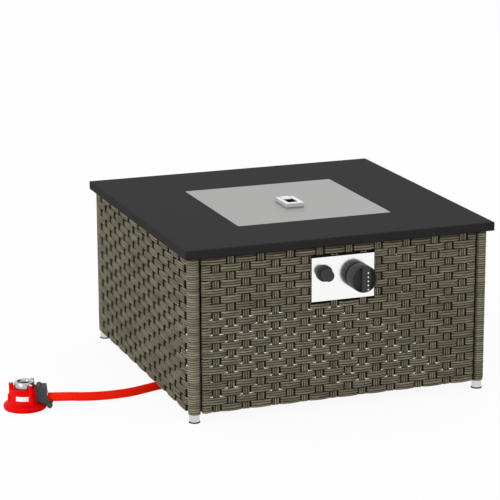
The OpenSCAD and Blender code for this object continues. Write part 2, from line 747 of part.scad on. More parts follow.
// Weave of one panel, facing +Y: a slab as deep as the stakes, and a pad where each row's band
// passes over every other stake, with the next row a stake further on
module weave(reach, margin, count, past) {
    step = 2 * (reach - margin) / (count - 1);
    row_h = (body_top - foot_h) / weave_rows;
    pad = step - stake_w / 2;
    floor_y = half - stake_depth;
    span([-reach, reach], [weave_in, floor_y], [foot_h, body_top]);
    for (row = [0:weave_rows - 1], i = [-past:count - 1 + past]) if ((i + row) % 2 != 0) {
        x = step * (i - (count - 1) / 2);
        foot = [max(x - pad, -reach), min(x + pad, reach)];
        face = [max(x - pad + pad_slope, -reach), min(x + pad - pad_slope, reach)];
        translate([0, 0, body_top - (row + 1) * row_h + row_groove / 2]) linear_extrude(row_h - row_groove)
            polygon([[foot[0], floor_y - pad_root], [foot[1], floor_y - pad_root], [foot[1], floor_y],
                [face[1], half], [face[0], half], [foot[0], floor_y]]);
    }
}
module side_weave() rotate([0, 0, -90]) weave(wrap_in, side_margin, side_stakes, 0);
module panel_weave() weave(panel_x, front_margin, front_stakes, 1);
module left_weave() color("#5c594d") placed() rotate([0, 0, 180]) side_weave();
module right_weave() color("#5c594d") placed() side_weave();
module front_weave() color("#595448") placed() difference() {
    rotate([0, 0, 180]) panel_weave();
    span([plate_x - plate_w / 2 - plate_gap, plate_x + plate_w / 2 + plate_gap],
        [-half - over, over - weave_in],
        [plate_z - plate_h / 2 - plate_gap, plate_z + plate_h / 2 + plate_gap]);
}
module back_weave() color("#595448") placed() panel_weave();
// Strands wound round the posts, as the sleeve that they fill
module post_wraps() color("#636051") placed() corners() difference() {
    translate([post_c, post_c, foot_h - wrap_drop]) difference() {
        wrap_l = body_top - foot_h + wrap_drop;
        cylinder(h = wrap_l, d = post_d + 2 * wrap_t);
        translate([0, 0, -over]) cylinder(h = wrap_l + 2 * over, d = post_d + 2 * run_fit);
    }
    for (z = bolt_zs) rod_x([wrap_in - over, post_c], tube_c, z, bolt_d / 2 + loose);
    for (z = [foot_h, body_top - rail_h])
        span([tube_in - loose, weave_in + loose], [wrap_in - over, post_c], [z - over, z + rail_h + over]);
}
module panel_bolts() color("#9a9a9a") placed() corners() for (z = bolt_zs) {
    head = panel_x - panel_tube;
    rod_x([head, post_in + tube_wall + bolt_nut_l], tube_c, z, bolt_d / 2);
    rod_x([head - screw_head_h, head], tube_c, z, 0.9 * bolt_d);
}

// Feet: a plug in each post, a bright foot that screws into it and a soft pad
module foot_plugs() color("#303030") placed() corners() translate([post_c, post_c, foot_h]) difference() {
    cylinder(h = plug_h, d = post_d - 2 * tube_wall - 2 * run_fit);
    translate([0, 0, -over]) cylinder(h = plug_h + 2 * over, d = foot_stud_d + 2 * run_fit);
}
module feet() color("#d5d5d5") placed() corners() translate([post_c, post_c, 0]) difference() {
    union() {
        translate([0, 0, pad_t]) cylinder(h = foot_h - pad_t, d = foot_d);
        translate([0, 0, pad_t]) cylinder(h = foot_h - pad_t + foot_stud_l, d = foot_stud_d);
    }
    translate([0, 0, pad_t - over]) cylinder(h = pad_spigot_h + over, d = pad_spigot_d);
}
module foot_pads() color("#262626") placed() corners() translate([post_c, post_c, 0]) {
    cylinder(h = pad_t, d = pad_d);
    cylinder(h = pad_t + pad_spigot_h, d = pad_spigot_d - 2 * run_fit);
}

// Control plate, a shallow tray held by four studs, and the box behind it
module plate_studs() for (sx = [-1, 1], sz = [-1, 1])
    translate([plate_x + sx * plate_stud_x, 0, plate_z + sz * plate_stud_z]) children();
module control_plate() color("#e9e9e7") placed() {
    s = plate_sheet;
    difference() {
        translate([plate_x, box_y, plate_z]) rotate([90, 0, 0])
            linear_extrude(weave_t) square([plate_w, plate_h], center = true);
        translate([plate_x, box_y + over, plate_z]) rotate([90, 0, 0]) linear_extrude(weave_t - s + over)
            square([plate_w - 2 * s, plate_h - 2 * s], center = true);
        rod_y(knob_x, [face_y - over, box_y + over], knob_z, bush_r + 1);
        rod_y(ign_x, [face_y - over, box_y + over], ign_z, barrel_d / 2 + loose);
    }
    plate_studs() rod_y(0, [face_y + s, box_back + plate_nut_h + 1], 0, plate_stud_d / 2);
}
module plate_nuts() color("#9a9a9a") placed() plate_studs() difference() {
    translate([0, box_back, 0]) rotate([-90, 0, 0]) cylinder(h = plate_nut_h, r = plate_stud_d, $fn = 6);
    rod_y(0, [box_back - over, box_back + plate_nut_h + over], 0, plate_stud_d / 2 + run_fit);
}
module control_box() color("#222222") placed() {
    x = [plate_x - box_w / 2, plate_x + box_w / 2];
    z = [plate_z - box_h / 2, plate_z + box_h / 2];
    difference() {
        span(x, [box_y, box_y + box_depth], z);
        span([x[0] + box_sheet, x[1] - box_sheet], [box_back, box_y + box_depth + over],
            [z[0] - over, z[1] + over]);
        rod_y(knob_x, [box_y - over, box_back + over], knob_z, bush_r + loose);
        rod_y(ign_x, [box_y - over, box_back + over], ign_z, barrel_d / 2 + loose);
        plate_studs() rod_y(0, [box_y - over, box_back + over], 0, (plate_stud_d + loose) / 2);
        for (s = [-1, 1])
            rod_x([x[0] - over, x[1] + over], -tube_c, plate_z + s * box_screw_z, (box_screw_d + loose) / 2);
    }
}
module box_screws() color("#9a9a9a") placed() for (side = [0, 1], s = [-1, 1])
    translate([plate_x, 0, plate_z + s * box_screw_z]) mirror([side, 0, 0]) {
        edge = box_w / 2 - box_sheet;
        rod_x([edge, box_w / 2 + tube_wall + 2], -tube_c, 0, box_screw_d / 2);
        rod_x([edge - screw_head_h / 2, edge], -tube_c, 0, box_screw_d);
    }

// Igniter: barrel with a bezel, ring nut, sprung button and a battery cell
module igniter_body() color("#1f1f1f") placed() difference() {
    union() {
        rod_y(ign_x, [bezel_front, face_y], ign_z, bezel_d / 2);
        rod_y(ign_x, [bezel_front, barrel_back], ign_z, barrel_d / 2);
        rod_y(ign_x, [barrel_back - over, barrel_back + terminal_l], ign_z, terminal_d / 2);
    }
    rod_y(ign_x, [bezel_front - over, ledge_y], ign_z, stem_d / 2 + run_fit);
    rod_y(ign_x, [ledge_y - over, cell_back], ign_z, cell_d / 2 + loose / 2);
}
module igniter_nut() color("#2b2b2b") placed() difference() {
    translate([ign_x, box_back, ign_z]) rotate([-90, 0, 0]) cylinder(h = 5, d = barrel_d + 10, $fn = 6);
    rod_y(ign_x, [box_back - over, box_back + 5 + over], ign_z, barrel_d / 2 + run_fit);
}
module igniter_button() color("#232323") placed() {
    rod_y(ign_x, [cap_back - cap_h, cap_back], ign_z, cap_d / 2);
    rod_y(ign_x, [cap_back - cap_h, ledge_y - igniter_spring_l], ign_z, stem_d / 2);
}
module igniter_spring() color("#b9b9b9") placed() {
    turns = 4;
    steps = 10;
    line = spring_line([ign_x, ign_z], (stem_d - spring_wire) / 2 - 0.4,
        ledge_y - igniter_spring_l + spring_wire, igniter_spring_l - 2 * spring_wire, turns, steps);
    echo(igniter_spring_least_gap = least_gap(line, spring_wire, steps));
    sweep(line, spring_wire, 6, [1, 0, 0]);
}
module igniter_battery() color("#4d6b52") placed()
    rod_y(ign_x, [ledge_y + 0.5, cell_back], ign_z, cell_d / 2);

// Valve: body, ring nut, sprung seat and the spindle that carries the knob
module gas_valve() color("#b59a5b") placed() difference() {
    union() {
        span([knob_x - valve_w / 2, knob_x + valve_w / 2], [box_back, valve_back],
            [valve_bottom, knob_z + valve_h / 2]);
        rod_y(knob_x, [bush_front, box_back + over], knob_z, bush_r);
        translate([knob_x, valve_mid, valve_bottom - boss_l]) cylinder(h = boss_l + over, r = boss_r);
        rod_y(knob_x, [valve_back - over, valve_back + outlet_l], outlet_z, pipe_d / 2 + 2);
        rod_y(probe_port[0], [valve_back - over, valve_back + probe_port_l], probe_port[1],
            capillary_d / 2 + 2);
    }
    rod_y(knob_x, [bush_front - over, bush_front + seat_pocket], knob_z, seat_r + run_fit);
    rod_y(knob_x, [bush_front, bush_front + seat_pocket + spindle_bore_l], knob_z, spindle_d / 2 + run_fit);
    rod_y(knob_x, [valve_mid, valve_back + outlet_l + over], outlet_z, pipe_d / 2 - 1);
    translate([knob_x, valve_mid, valve_bottom - boss_l - over])
        cylinder(h = boss_l + valve_h / 2 - 8, r = pipe_d / 2 - 1);
}
module valve_nut() color("#9f9f9f") placed() difference() {
    translate([knob_x, box_y - valve_nut_h, knob_z]) rotate([-90, 0, 0])
        cylinder(h = valve_nut_h, r = bush_r + 4, $fn = 6);
    rod_y(knob_x, [box_y - valve_nut_h - over, box_y + over], knob_z, bush_r + run_fit);
}
module valve_spring_seat() color("#b9b9b9") placed() difference() {
    y = bush_front + seat_pocket - valve_spring_l;
    rod_y(knob_x, [y - seat_h, y], knob_z, seat_r);
    rod_y(knob_x, [y - seat_h - over, y + over], knob_z, spindle_d / 2 + run_fit);
}
module valve_spring() color("#b9b9b9") placed() {
    turns = 4;
    steps = 10;
    line = spring_line([knob_x, knob_z], (seat_r + spindle_d / 2) / 2,
        bush_front + seat_pocket - valve_spring_l + spring_wire, valve_spring_l - 2 * spring_wire,
        turns, steps);
    echo(valve_spring_least_gap = least_gap(line, spring_wire, steps));
    sweep(line, spring_wire, 6, [1, 0, 0]);
}
module valve_spindle() color("#a9a9a9") placed() {
    seat_front = bush_front + seat_pocket - valve_spring_l - seat_h;
    rod_y(knob_x, [knob_back - 16, bush_front + seat_pocket + 14], knob_z, spindle_d / 2);
    rod_y(knob_x, [seat_front - 2, seat_front - 2 * run_fit], knob_z, seat_r - 0.3);
}
module control_knob() color("#1c1c1c") placed() translate([knob_x, 0, knob_z]) difference() {
    chamfer = 1.5;
    r = knob_d / 2;
    scoop_r = r - scoop_rim;
    translate([0, knob_back, 0]) rotate([90, 0, 0]) rotate_extrude(convexity = 4) polygon([[0, 0], [r, 0],
        [r, knob_l - chamfer], [r - chamfer, knob_l], [0, knob_l]]);
    for (x = [[-r, ridge_dx - ridge_w / 2], [ridge_dx + ridge_w / 2, r]]) intersection() {
        rod_y(0, [-knob_front - over, scoop_depth - knob_front], 0, scoop_r);
        span(x, [-knob_front - 2 * over, 0], [-r, r]);
    }
    rod_y(0, [knob_back - 16.5, knob_back + over], 0, spindle_d / 2 + run_fit / 2);
}

// Gas pipe from the valve to the burner, with its nut
module gas_pipe() color("#c4c6c8") placed() {
    from = [knob_x, valve_back + outlet_l, outlet_z];
    to = burner_at + [0, 0, jet_bottom + jet_hex_h - 4];
    back = [0, pipe_straight, 0];
    up = [0, 0, pipe_straight];
    shares = [[0.02, 0.3, 0.33], [0.3, 0.58, 0.82], [0.7, 0.83, 1], [0.95, 0.96, 0.72]];
    middle = [for (s = shares) [from[0] + s[0] * (to[0] - from[0]), from[1] + s[1] * (to[1] - from[1]),
        from[2] - s[2] * pipe_sag]];
    route = concat([from, from + back, from + 2 * back], middle, [to - 2 * up, to - up, to]);
    sweep(curve(route, 4), pipe_d, 10, [1, 0, 0]);
}
module pipe_nut() color("#b08d4a") placed() difference() {
    y = valve_back + outlet_l;
    translate([knob_x, y, outlet_z]) rotate([-90, 0, 0])
        cylinder(h = pipe_nut_l, r = pipe_d / 2 + 4, $fn = 6);
    rod_y(knob_x, [y - over, y + pipe_nut_l + over], outlet_z, pipe_d / 2 + run_fit);
}

// Hose with its tails and clamps
module hose_fitting() color("#b08d4a") placed() translate([hose_start[0], hose_start[1], hose_start[2]]) {
    cylinder(h = fitting_h, r = 11, $fn = 6);
    translate([0, 0, -tail_l]) cylinder(h = tail_l + over, d = tail_d);
}
module hose_clamp() {
    bore = hose_d / 2 + run_fit;
    difference() {
        union() {
            cylinder(h = 9, r = bore + clamp_t);
            translate([bore - 1, -5, 1]) cube([3.5, 10, 7]);
        }
        translate([0, 0, -over]) cylinder(h = 9 + 2 * over, r = bore);
    }
}
module hose_clamps() color("#bdbdbd") {
    placed() translate([hose_start[0], hose_start[1], hose_start[2] - 20]) hose_clamp();
    on_regulator() translate([nozzle_from + nozzle_flange + 4, 0, outlet_h]) rotate([0, 90, 0])
        rotate([0, 0, 180]) hose_clamp();
}
module gas_hose() color("#e01e10") placed()
    sweep(curve(hose_route, hose_steps), hose_d, hose_sides, [1, 0, 0]);

// Regulator, lying on its cover with the socket up
module regulator_nozzle() color("#b08d4a") on_regulator() {
    rod_x([nozzle_from, nozzle_from + nozzle_flange], 0, outlet_h, tail_d / 2 + 3);
    rod_x([nozzle_from, nozzle_from + nozzle_flange + nozzle_tail_l], 0, outlet_h, tail_d / 2);
}
module guards(ring) for (a = [60, 180, 300]) rotate([0, 0, a]) translate([ring, 0, 0]) children();
module bell() rotate_extrude() polygon(concat([[0, cover_t]],
    [for (q = bell_shoulder) [bell_r + q[0], cover_t + q[1]]], [[neck_r, bell_h], [0, bell_h]]));
module regulator_body() color("#dd2216") on_regulator() difference() {
    union() {
        difference() {
            bell();
            span([lever_in - apart, bell_r + over], [-lever_w / 2 - apart, lever_w / 2 + apart],
                [lever_slot_floor, guard_h + over]);
        }
        guards(guard_ring) translate([0, 0, guard_foot]) cylinder(h = guard_h - guard_foot, r = guard_r);
        guards(neck_r + 1) translate([0, 0, guard_foot])
            cylinder(h = guard_step - guard_foot, r = guard_r + 1);
        rod_x([0, nozzle_from], 0, outlet_h, tail_d / 2 + 4);
        span([lug_from, pivot[0] + 4], [-lug_half, lug_half], [cover_t, pivot[1] + lug_rise]);
    }
    translate([0, 0, cover_t - over]) cylinder(h = cavity_h + over, r = bell_r - 14);
    translate([0, 0, seat_z]) cylinder(h = bell_h, r = socket_r + run_fit);
    translate([0, 0, seat_z - seal_h]) cylinder(h = seal_h + over, r = seal_r);
    translate([0, 0, seat_z - seal_h - 12]) cylinder(h = 12 + over, d = 5 + 2 * run_fit);
    rod_x([14, nozzle_from + over], 0, outlet_h, tail_d / 2 - 2);
    guards(guard_ring) translate([0, 0, guard_h - 12]) cylinder(h = 12 + over, d = 3 + 2 * run_fit);
    translate([pivot[0], lever_w, pivot[1]]) rotate([90, 0, 0])
        cylinder(h = 2 * lever_w, d = lever_pin_d + 2 * run_fit);
}
module regulator_cover() color("#c81d12") on_regulator() {
    cylinder(h = cover_t, r = bell_r - 1);
}
module regulator_socket() color("#cfcfcf") on_regulator() translate([0, 0, seat_z]) rotate_extrude()
    polygon([[socket_bore_r, 0], [socket_r, 0], [socket_r, socket_l - 2.5], [socket_r - 1.5, socket_l],
        [socket_bore_r + socket_flare, socket_l], [socket_bore_r, socket_l - 3]]);
module regulator_seal() color("#1b1b1b") on_regulator() translate([0, 0, seat_z - seal_h]) difference() {
    cylinder(h = seal_h, r = seal_r - run_fit);
    translate([0, 0, -over]) cylinder(h = seal_h + 2 * over, d = 6);
}
module regulator_plunger() color("#c2a15a") on_regulator() translate([0, 0, seat_z - seal_h - 12])
    cylinder(h = 14.5, d = 5);
module regulator_screws() color("#cfcfcf") on_regulator() guards(guard_ring) {
    translate([0, 0, guard_h - 11]) cylinder(h = 11, d = 3);
    translate([0, 0, guard_h]) cylinder(h = 2, r = 3.4);
}
// Locking lever: two cheeks beside the hose joined by a thumb block, swinging out on the pin
module regulator_lever() color("#444846") on_regulator() difference() {
    rotate([90, 0, 0]) translate([0, 0, -lever_w / 2]) {
        linear_extrude(lever_w) polygon(concat([for (q = lever_side) [lever_in + q[0], q[1]]],
            [[pivot[0] + 4.5, pivot[1] + 1], [pivot[0] - 2, pivot[1] - 2], [lever_in + 12, 13.5]]));
        translate([pivot[0], pivot[1], 0]) cylinder(h = lever_w, r = pivot_boss_r);
    }
    translate([pivot[0], lever_w, pivot[1]]) rotate([90, 0, 0])
        cylinder(h = 2 * lever_w, d = lever_pin_d + 2 * run_fit);
    span([0, pivot[0] + 2 * pivot_boss_r], [lever_cheek - lever_w / 2, lever_w / 2 - lever_cheek],
        [0, lever_slot_top]);
}
module regulator_lever_pin() color("#2d2f2e") on_regulator()
    translate([pivot[0], 0, pivot[1]]) rotate([90, 0, 0]) {
    translate([0, 0, -lever_w / 2]) cylinder(h = lever_w + apart, d = lever_pin_d);
    translate([0, 0, lever_w / 2 + apart]) cylinder(h = 4, r = 5.5);
}

tabletop();
tabletop_screws();
burner_lid();
lid_handle_base();
lid_handle_ring();
lid_handle_pin();
lid_handle_screws();
burner_pan();
pan_nuts();
burner();
burner_bolts();
gas_jet();
pilot_bracket();
spark_electrode();
thermocouple();
thermocouple_lead();
ignition_lead();
left_frame();
right_frame();
front_frame();
back_frame();
left_weave();
right_weave();
front_weave();
back_weave();
post_wraps();
panel_bolts();
foot_plugs();
feet();
foot_pads();
control_plate();
plate_nuts();
control_box();
box_screws();
igniter_body();
igniter_nut();
igniter_button();
igniter_spring();
igniter_battery();
gas_valve();
valve_nut();
valve_spring();
valve_spring_seat();
valve_spindle();
control_knob();
gas_pipe();
pipe_nut();
hose_fitting();
hose_clamps();
gas_hose();
regulator_nozzle();
regulator_body();
regulator_cover();
regulator_socket();
regulator_seal();
regulator_plunger();
regulator_screws();
regulator_lever();
regulator_lever_pin();
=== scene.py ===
"""Looks of a woven gas fire pit table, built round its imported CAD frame."""

from __future__ import annotations

import itertools
import logging
import math
from dataclasses import dataclass, field
from enum import Enum
from typing import Callable, Sequence

import bmesh
import bpy
import numpy as np
from mathutils import Matrix, Vector

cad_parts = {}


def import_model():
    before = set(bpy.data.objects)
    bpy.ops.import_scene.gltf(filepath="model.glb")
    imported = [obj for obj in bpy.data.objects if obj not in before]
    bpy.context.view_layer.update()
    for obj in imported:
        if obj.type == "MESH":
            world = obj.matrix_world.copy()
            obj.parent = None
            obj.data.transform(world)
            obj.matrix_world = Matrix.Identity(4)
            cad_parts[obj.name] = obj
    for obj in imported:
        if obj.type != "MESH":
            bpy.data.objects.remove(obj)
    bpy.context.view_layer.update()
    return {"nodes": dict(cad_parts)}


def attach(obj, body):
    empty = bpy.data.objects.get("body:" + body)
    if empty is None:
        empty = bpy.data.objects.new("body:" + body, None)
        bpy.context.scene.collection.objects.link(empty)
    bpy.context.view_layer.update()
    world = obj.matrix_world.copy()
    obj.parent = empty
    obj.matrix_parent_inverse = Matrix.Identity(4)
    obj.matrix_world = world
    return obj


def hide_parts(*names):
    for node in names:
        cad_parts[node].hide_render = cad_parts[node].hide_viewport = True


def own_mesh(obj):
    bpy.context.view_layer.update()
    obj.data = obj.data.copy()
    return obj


LOG = logging.getLogger("fire_table")
MM = 0.001
# The table's middle stands this far back of the shared origin.
MIDDLE_Y = 12.0
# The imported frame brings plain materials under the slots' own names, so these start otherwise.
LOOKS = "looks_"
# The regulator's middle, from the table's.
REGULATOR = (-632.0, -104.0)
UP = np.array([0.0, 0.0, 1.0])
WHITE = (1.0, 1.0, 1.0, 1.0)
# Points of a new piece that lie closer than this, in metres, are one point.
MERGE_REACH = 0.000001
# A new piece is smooth across edges up to this angle.
SMOOTH_ANGLE = math.radians(35.0)
# A face looks along an axis where its normal has at least this much of it.
FACING = 0.9

# How much of the grain, and of a strand's streaks, also shows in the roughness.
GRAIN_ROUGHNESS = 0.6
STREAK_ROUGHNESS = 0.2
# How much the clouds on metal show beside its lines.
METAL_CLOUDS = 0.4
# How close a strand's streaks lie along it and across it, and the noise above which they turn pale.
STREAK_PULL = (45.0, 2.4, 1.0)
PALE_FROM = 0.35
# A strand's own lightness is the part after the point of this many times its tone.
OWN_LIGHT = 7.3
# Painted shade in the grooves between strands: a strand darkens from this far off its middle to its
# edge, in widths.
CROWN_HALF = 0.14
EDGE_HALF = 0.5
# How soon the painted shade turns a strand dark as it goes down into the weave, and how much of its
# colour that painted shade takes away.
PAINTED_SHADE_RATE = 7.0
PAINTED_SHADE_LOSS = 0.93

Colour = tuple[float, float, float]
Piece = bpy.types.Object
Socket = bpy.types.NodeSocket


def shade(colour: Colour) -> tuple[float, float, float, float]:
    """Turns a colour written in 0 to 255 steps into the linear colour a shader reads.

    Args:
        colour: red, green and blue as they show on a screen.

    Returns:
        The linear red, green, blue and an alpha of one.
    """
    parts = [c / 255 for c in colour]
    linear = [p / 12.92 if p <= 0.04045 else ((p + 0.055) / 1.055) ** 2.4 for p in parts]
    return (linear[0], linear[1], linear[2], 1.0)


def at(x: float, y: float, z: float) -> Vector:
    """Turns millimetres from the table's middle into metres in the shared frame."""
    return Vector((x * MM, (y + MIDDLE_Y) * MM, z * MM))


def unit(rows: np.ndarray) -> np.ndarray:
    """Brings every row to a length of one."""
    return rows / np.linalg.norm(rows, axis=-1, keepdims=True)


class Sheet:
    """A node tree with short calls that place nodes and join their sockets."""

    def __init__(self, tree: bpy.types.NodeTree) -> None:
        """Starts on a material's or group's node tree, which is cleared."""
        self.tree = tree
        tree.nodes.clear()

    def feed(self, value: object, target: Socket) -> None:
        """Gives an input socket its value, or a link where the value is an output socket."""
        if isinstance(value, Socket):
            self.tree.links.new(value, target)
        else:
            target.default_value = value

    def add(self, kind: str, sockets: dict | None = None, **settings: object) -> bpy.types.Node:
        """Places a node.

        Args:
            kind: the node's type name.
            sockets: values or output sockets for its inputs, by name or number.
            settings: values for the node's own properties.

        Returns:
            The new node.
        """
        node = self.tree.nodes.new(kind)
        for name, value in settings.items():
            setattr(node, name, value)
        for name, value in (sockets or {}).items():
            self.feed(value, node.inputs[name])
        return node

    def math(self, operation: str, *values: object) -> Socket:
        """Places a Math node on numbers or sockets and gives its result."""
        return self.add("ShaderNodeMath", dict(enumerate(values)), operation=operation).outputs[0]

    def stretch(self, place: Socket, pull: object) -> Socket:
        """Multiplies a place by a vector, axis by axis, and gives the result."""
        return self.add("ShaderNodeVectorMath", {0: place, 1: pull}, operation="MULTIPLY").outputs[0]

    def noise(self, place: Socket, scale: object, detail: float, roughness: float) -> Socket:
        """Places a Noise texture and gives its value."""
        sockets = {"Vector": place, "Scale": scale, "Detail": detail, "Roughness": roughness}
        return self.add("ShaderNodeTexNoise", sockets).outputs["Fac"]

    def blend(self, share: object, low: object, high: object, kind: str = "MIX") -> Socket:
        """Places a colour Mix node, from low at nought to high at one, and gives its colour."""
        sockets = {0: share, 6: low, 7: high}
        return self.add("ShaderNodeMix", sockets, data_type="RGBA", blend_type=kind).outputs[2]

    def dim(self, colour: Socket, level: Socket) -> Socket:
        """Multiplies a colour by a number and gives the result."""
        grey = self.add("ShaderNodeCombineColor", {0: level, 1: level, 2: level}).outputs[0]
        return self.blend(1.0, colour, grey, "MULTIPLY")


class Effect(Enum):
    """The shared surface effects, each a shader node group."""

    GRAIN = "fine_grain"
    BRUSHED = "brushed_lines"
    STRAND = "strand_tone"

    def group(self) -> bpy.types.NodeTree:
        """Gives the effect's node group, made the first time it is asked for."""
        makers = {"GRAIN": _grain_group, "BRUSHED": _brushed_group, "STRAND": _strand_group}
        return bpy.data.node_groups.get(self.value) or makers[self.name](self.value)


def _new_group(
    name: str, colours: Sequence[str], vectors: Sequence[str], numbers: Sequence[str]
) -> tuple[Sheet, bpy.types.NodeOutputs]:
    """Starts a node group that puts out a colour, a roughness and a height.

    Args:
        name: the group's name.
        colours: the names of its colour inputs.
        vectors: the names of its vector inputs.
        numbers: the names of its number inputs.

    Returns:
        The group's sheet, and the sockets that bring in its inputs.
    """
    tree = bpy.data.node_groups.new(name, "ShaderNodeTree")
    for kind, labels in (("Color", colours), ("Vector", vectors), ("Float", numbers)):
        for label in labels:
            tree.interface.new_socket(label, in_out="INPUT", socket_type="NodeSocket" + kind)
    for label, kind in (("Colour", "Color"), ("Roughness", "Float"), ("Height", "Float")):
        tree.interface.new_socket(label, in_out="OUTPUT", socket_type="NodeSocket" + kind)
    sheet = Sheet(tree)
    return sheet, sheet.add("NodeGroupInput").outputs


def _grain_group(name: str) -> bpy.types.NodeTree:
    """Makes the grain of paint, castings and mouldings.

    Args:
        name: the group's name.

    Returns:
        A group that gives a clouded colour, an uneven roughness and a height.
    """
    sheet, given = _new_group(name, ["Colour"], [], ["Grains", "Clouds", "Vary", "Roughness"])
    place = sheet.add("ShaderNodeTexCoord").outputs["Object"]
    fine = sheet.noise(place, given["Grains"], detail=3.0, roughness=0.6)
    cloud = sheet.noise(place, given["Clouds"], detail=4.0, roughness=0.55)
    both = sheet.math("SUBTRACT", sheet.math("ADD", fine, cloud), 1.0)
    swing = sheet.math("MULTIPLY", both, given["Vary"])
    colour = sheet.dim(given["Colour"], sheet.math("ADD", swing, 1.0))
    rough = sheet.math("MULTIPLY_ADD", swing, GRAIN_ROUGHNESS, given["Roughness"])
    sheet.add("NodeGroupOutput", {"Colour": colour, "Roughness": rough, "Height": fine})
    return sheet.tree


def _brushed_group(name: str) -> bpy.types.NodeTree:
    """Makes the fine lines of brushed and turned metal.

    Args:
        name: the group's name.

    Returns:
        A group that gives a lined colour, roughness and height.
    """
    sheet, given = _new_group(name, ["Colour"], ["Stretch"], ["Vary", "Roughness"])
    place = sheet.add("ShaderNodeTexCoord").outputs["Object"]
    drawn = sheet.stretch(place, given["Stretch"])
    lines = sheet.noise(drawn, scale=1.0, detail=5.0, roughness=0.7)
    cloud = sheet.noise(place, scale=7.0, detail=3.0, roughness=0.5)
    both = sheet.math("MULTIPLY_ADD", cloud, METAL_CLOUDS, lines)
    middle = 0.5 + METAL_CLOUDS / 2
    swing = sheet.math("MULTIPLY", sheet.math("SUBTRACT", both, middle), given["Vary"])
    colour = sheet.dim(given["Colour"], sheet.math("ADD", swing, 1.0))
    rough = sheet.math("ADD", given["Roughness"], swing)
    sheet.add("NodeGroupOutput", {"Colour": colour, "Roughness": rough, "Height": lines})
    return sheet.tree


def _strand_group(name: str) -> bpy.types.NodeTree:
    """Makes the two-tone streaks of extruded plastic strand, with painted shade in the grooves
    between strands and where the weave is deep.

    Args:
        name: the group's name.

    Returns:
        A group that gives a streaked colour with painted shade, a roughness and a height along each
        strand.
    """
    numbers = ["Streaks", "Spread", "Groove", "Roughness"]
    sheet, given = _new_group(name, ["Olive", "Brown", "Pale"], [], numbers)
    tone = sheet.add("ShaderNodeAttribute", attribute_name="tone").outputs["Fac"]
    deep = sheet.add("ShaderNodeAttribute", attribute_name="deep").outputs["Fac"]
    along = sheet.add("ShaderNodeAttribute", attribute_name="lie").outputs["Vector"]
    streak = sheet.noise(sheet.stretch(along, STREAK_PULL), scale=1.0, detail=2.0, roughness=0.6)
    hue = sheet.math("PINGPONG", sheet.math("MULTIPLY", tone, 2.0), 1.0)
    base = sheet.blend(hue, given["Olive"], given["Brown"])
    lift = sheet.math("MULTIPLY", sheet.math("SUBTRACT", streak, PALE_FROM), given["Streaks"])
    pale = sheet.add("ShaderNodeClamp", {0: lift}).outputs[0]
    streaked = sheet.blend(pale, base, given["Pale"])
    own = sheet.math("FRACT", sheet.math("MULTIPLY", tone, OWN_LIGHT))
    light = sheet.math("MULTIPLY_ADD", own, given["Spread"], 1.0)
    light = sheet.math("MULTIPLY_ADD", given["Spread"], -0.5, light)
    across = sheet.math("ABSOLUTE", sheet.add("ShaderNodeSeparateXYZ", {0: along}).outputs["Y"])
    # Painted shade in the grooves: the colour darkens towards the strand's edges.
    ramp = {0: across, 1: CROWN_HALF, 2: EDGE_HALF, 3: 1.0, 4: 0.0}
    edge = sheet.add("ShaderNodeMapRange", ramp, interpolation_type="SMOOTHSTEP").outputs[0]
    groove = sheet.math("SUBTRACT", 1.0, given["Groove"])
    groove_darkening = sheet.math("MULTIPLY_ADD", edge, given["Groove"], groove)
    # Painted shade: strands darken where they dive into the weave, under crossing bands, under the
    # top and beside the posts.
    dive = sheet.math("MINIMUM", sheet.math("MULTIPLY", deep, PAINTED_SHADE_RATE), 1.0)
    shadow = sheet.math("MULTIPLY", sheet.math("MULTIPLY_ADD", dive, -PAINTED_SHADE_LOSS, 1.0), groove_darkening)
    colour = sheet.dim(streaked, sheet.math("MULTIPLY", light, shadow))
    rough = sheet.math("MULTIPLY_ADD", streak, STREAK_ROUGHNESS, given["Roughness"])
    sheet.add("NodeGroupOutput", {"Colour": colour, "Roughness": rough, "Height": streak})
    return sheet.tree


def _named(finish: object, *names: str) -> dict[str, object]:
    """Gives a finish's values by the names of the sockets that they feed."""
    return {name: getattr(finish, name.lower()) for name in names}


def _make_material(
    name: str,
    effect: Effect,
    values: dict[str, object],
    plain: dict[str, float],
    depth: float,
    rim: Sequence[tuple[float, float]] = (),
) -> bpy.types.Material:
    """Makes a material of one effect on a Principled shader.

    Args:
        name: the material's name.
        effect: the effect that gives its colour, roughness and height.
        values: the effect's inputs.
        plain: the shader's own inputs that are the same all over.
        depth: how deep the grain is, in metres.
        rim: heights above the floor, and how much of the colour is left below each, as painted shade.

    Returns:
        The finished material.
    """
    material = bpy.data.materials.new(LOOKS + name)
    material.use_nodes = True
    sheet = Sheet(material.node_tree)
    made = sheet.add("ShaderNodeGroup", values, node_tree=effect.group()).outputs
    colour = made["Colour"]
    # Painted shade: the colour is darkened below each of the rim's heights.
    for height, share in rim:
        place = sheet.add("ShaderNodeTexCoord").outputs["Object"]
        z = sheet.add("ShaderNodeSeparateXYZ", {0: place}).outputs["Z"]
        low = sheet.math("LESS_THAN", z, height * MM)
        colour = sheet.blend(low, colour, (share, share, share, 1.0), "MULTIPLY")
    bump = sheet.add("ShaderNodeBump", {"Strength": 1.0, "Distance": depth, "Height": made["Height"]})
    linked = {"Base Color": colour, "Roughness": made["Roughness"], "Normal": bump.outputs["Normal"]}
    shader = sheet.add("ShaderNodeBsdfPrincipled", linked | plain)
    sheet.add("ShaderNodeOutputMaterial", {"Surface": shader.outputs["BSDF"]})
    return material


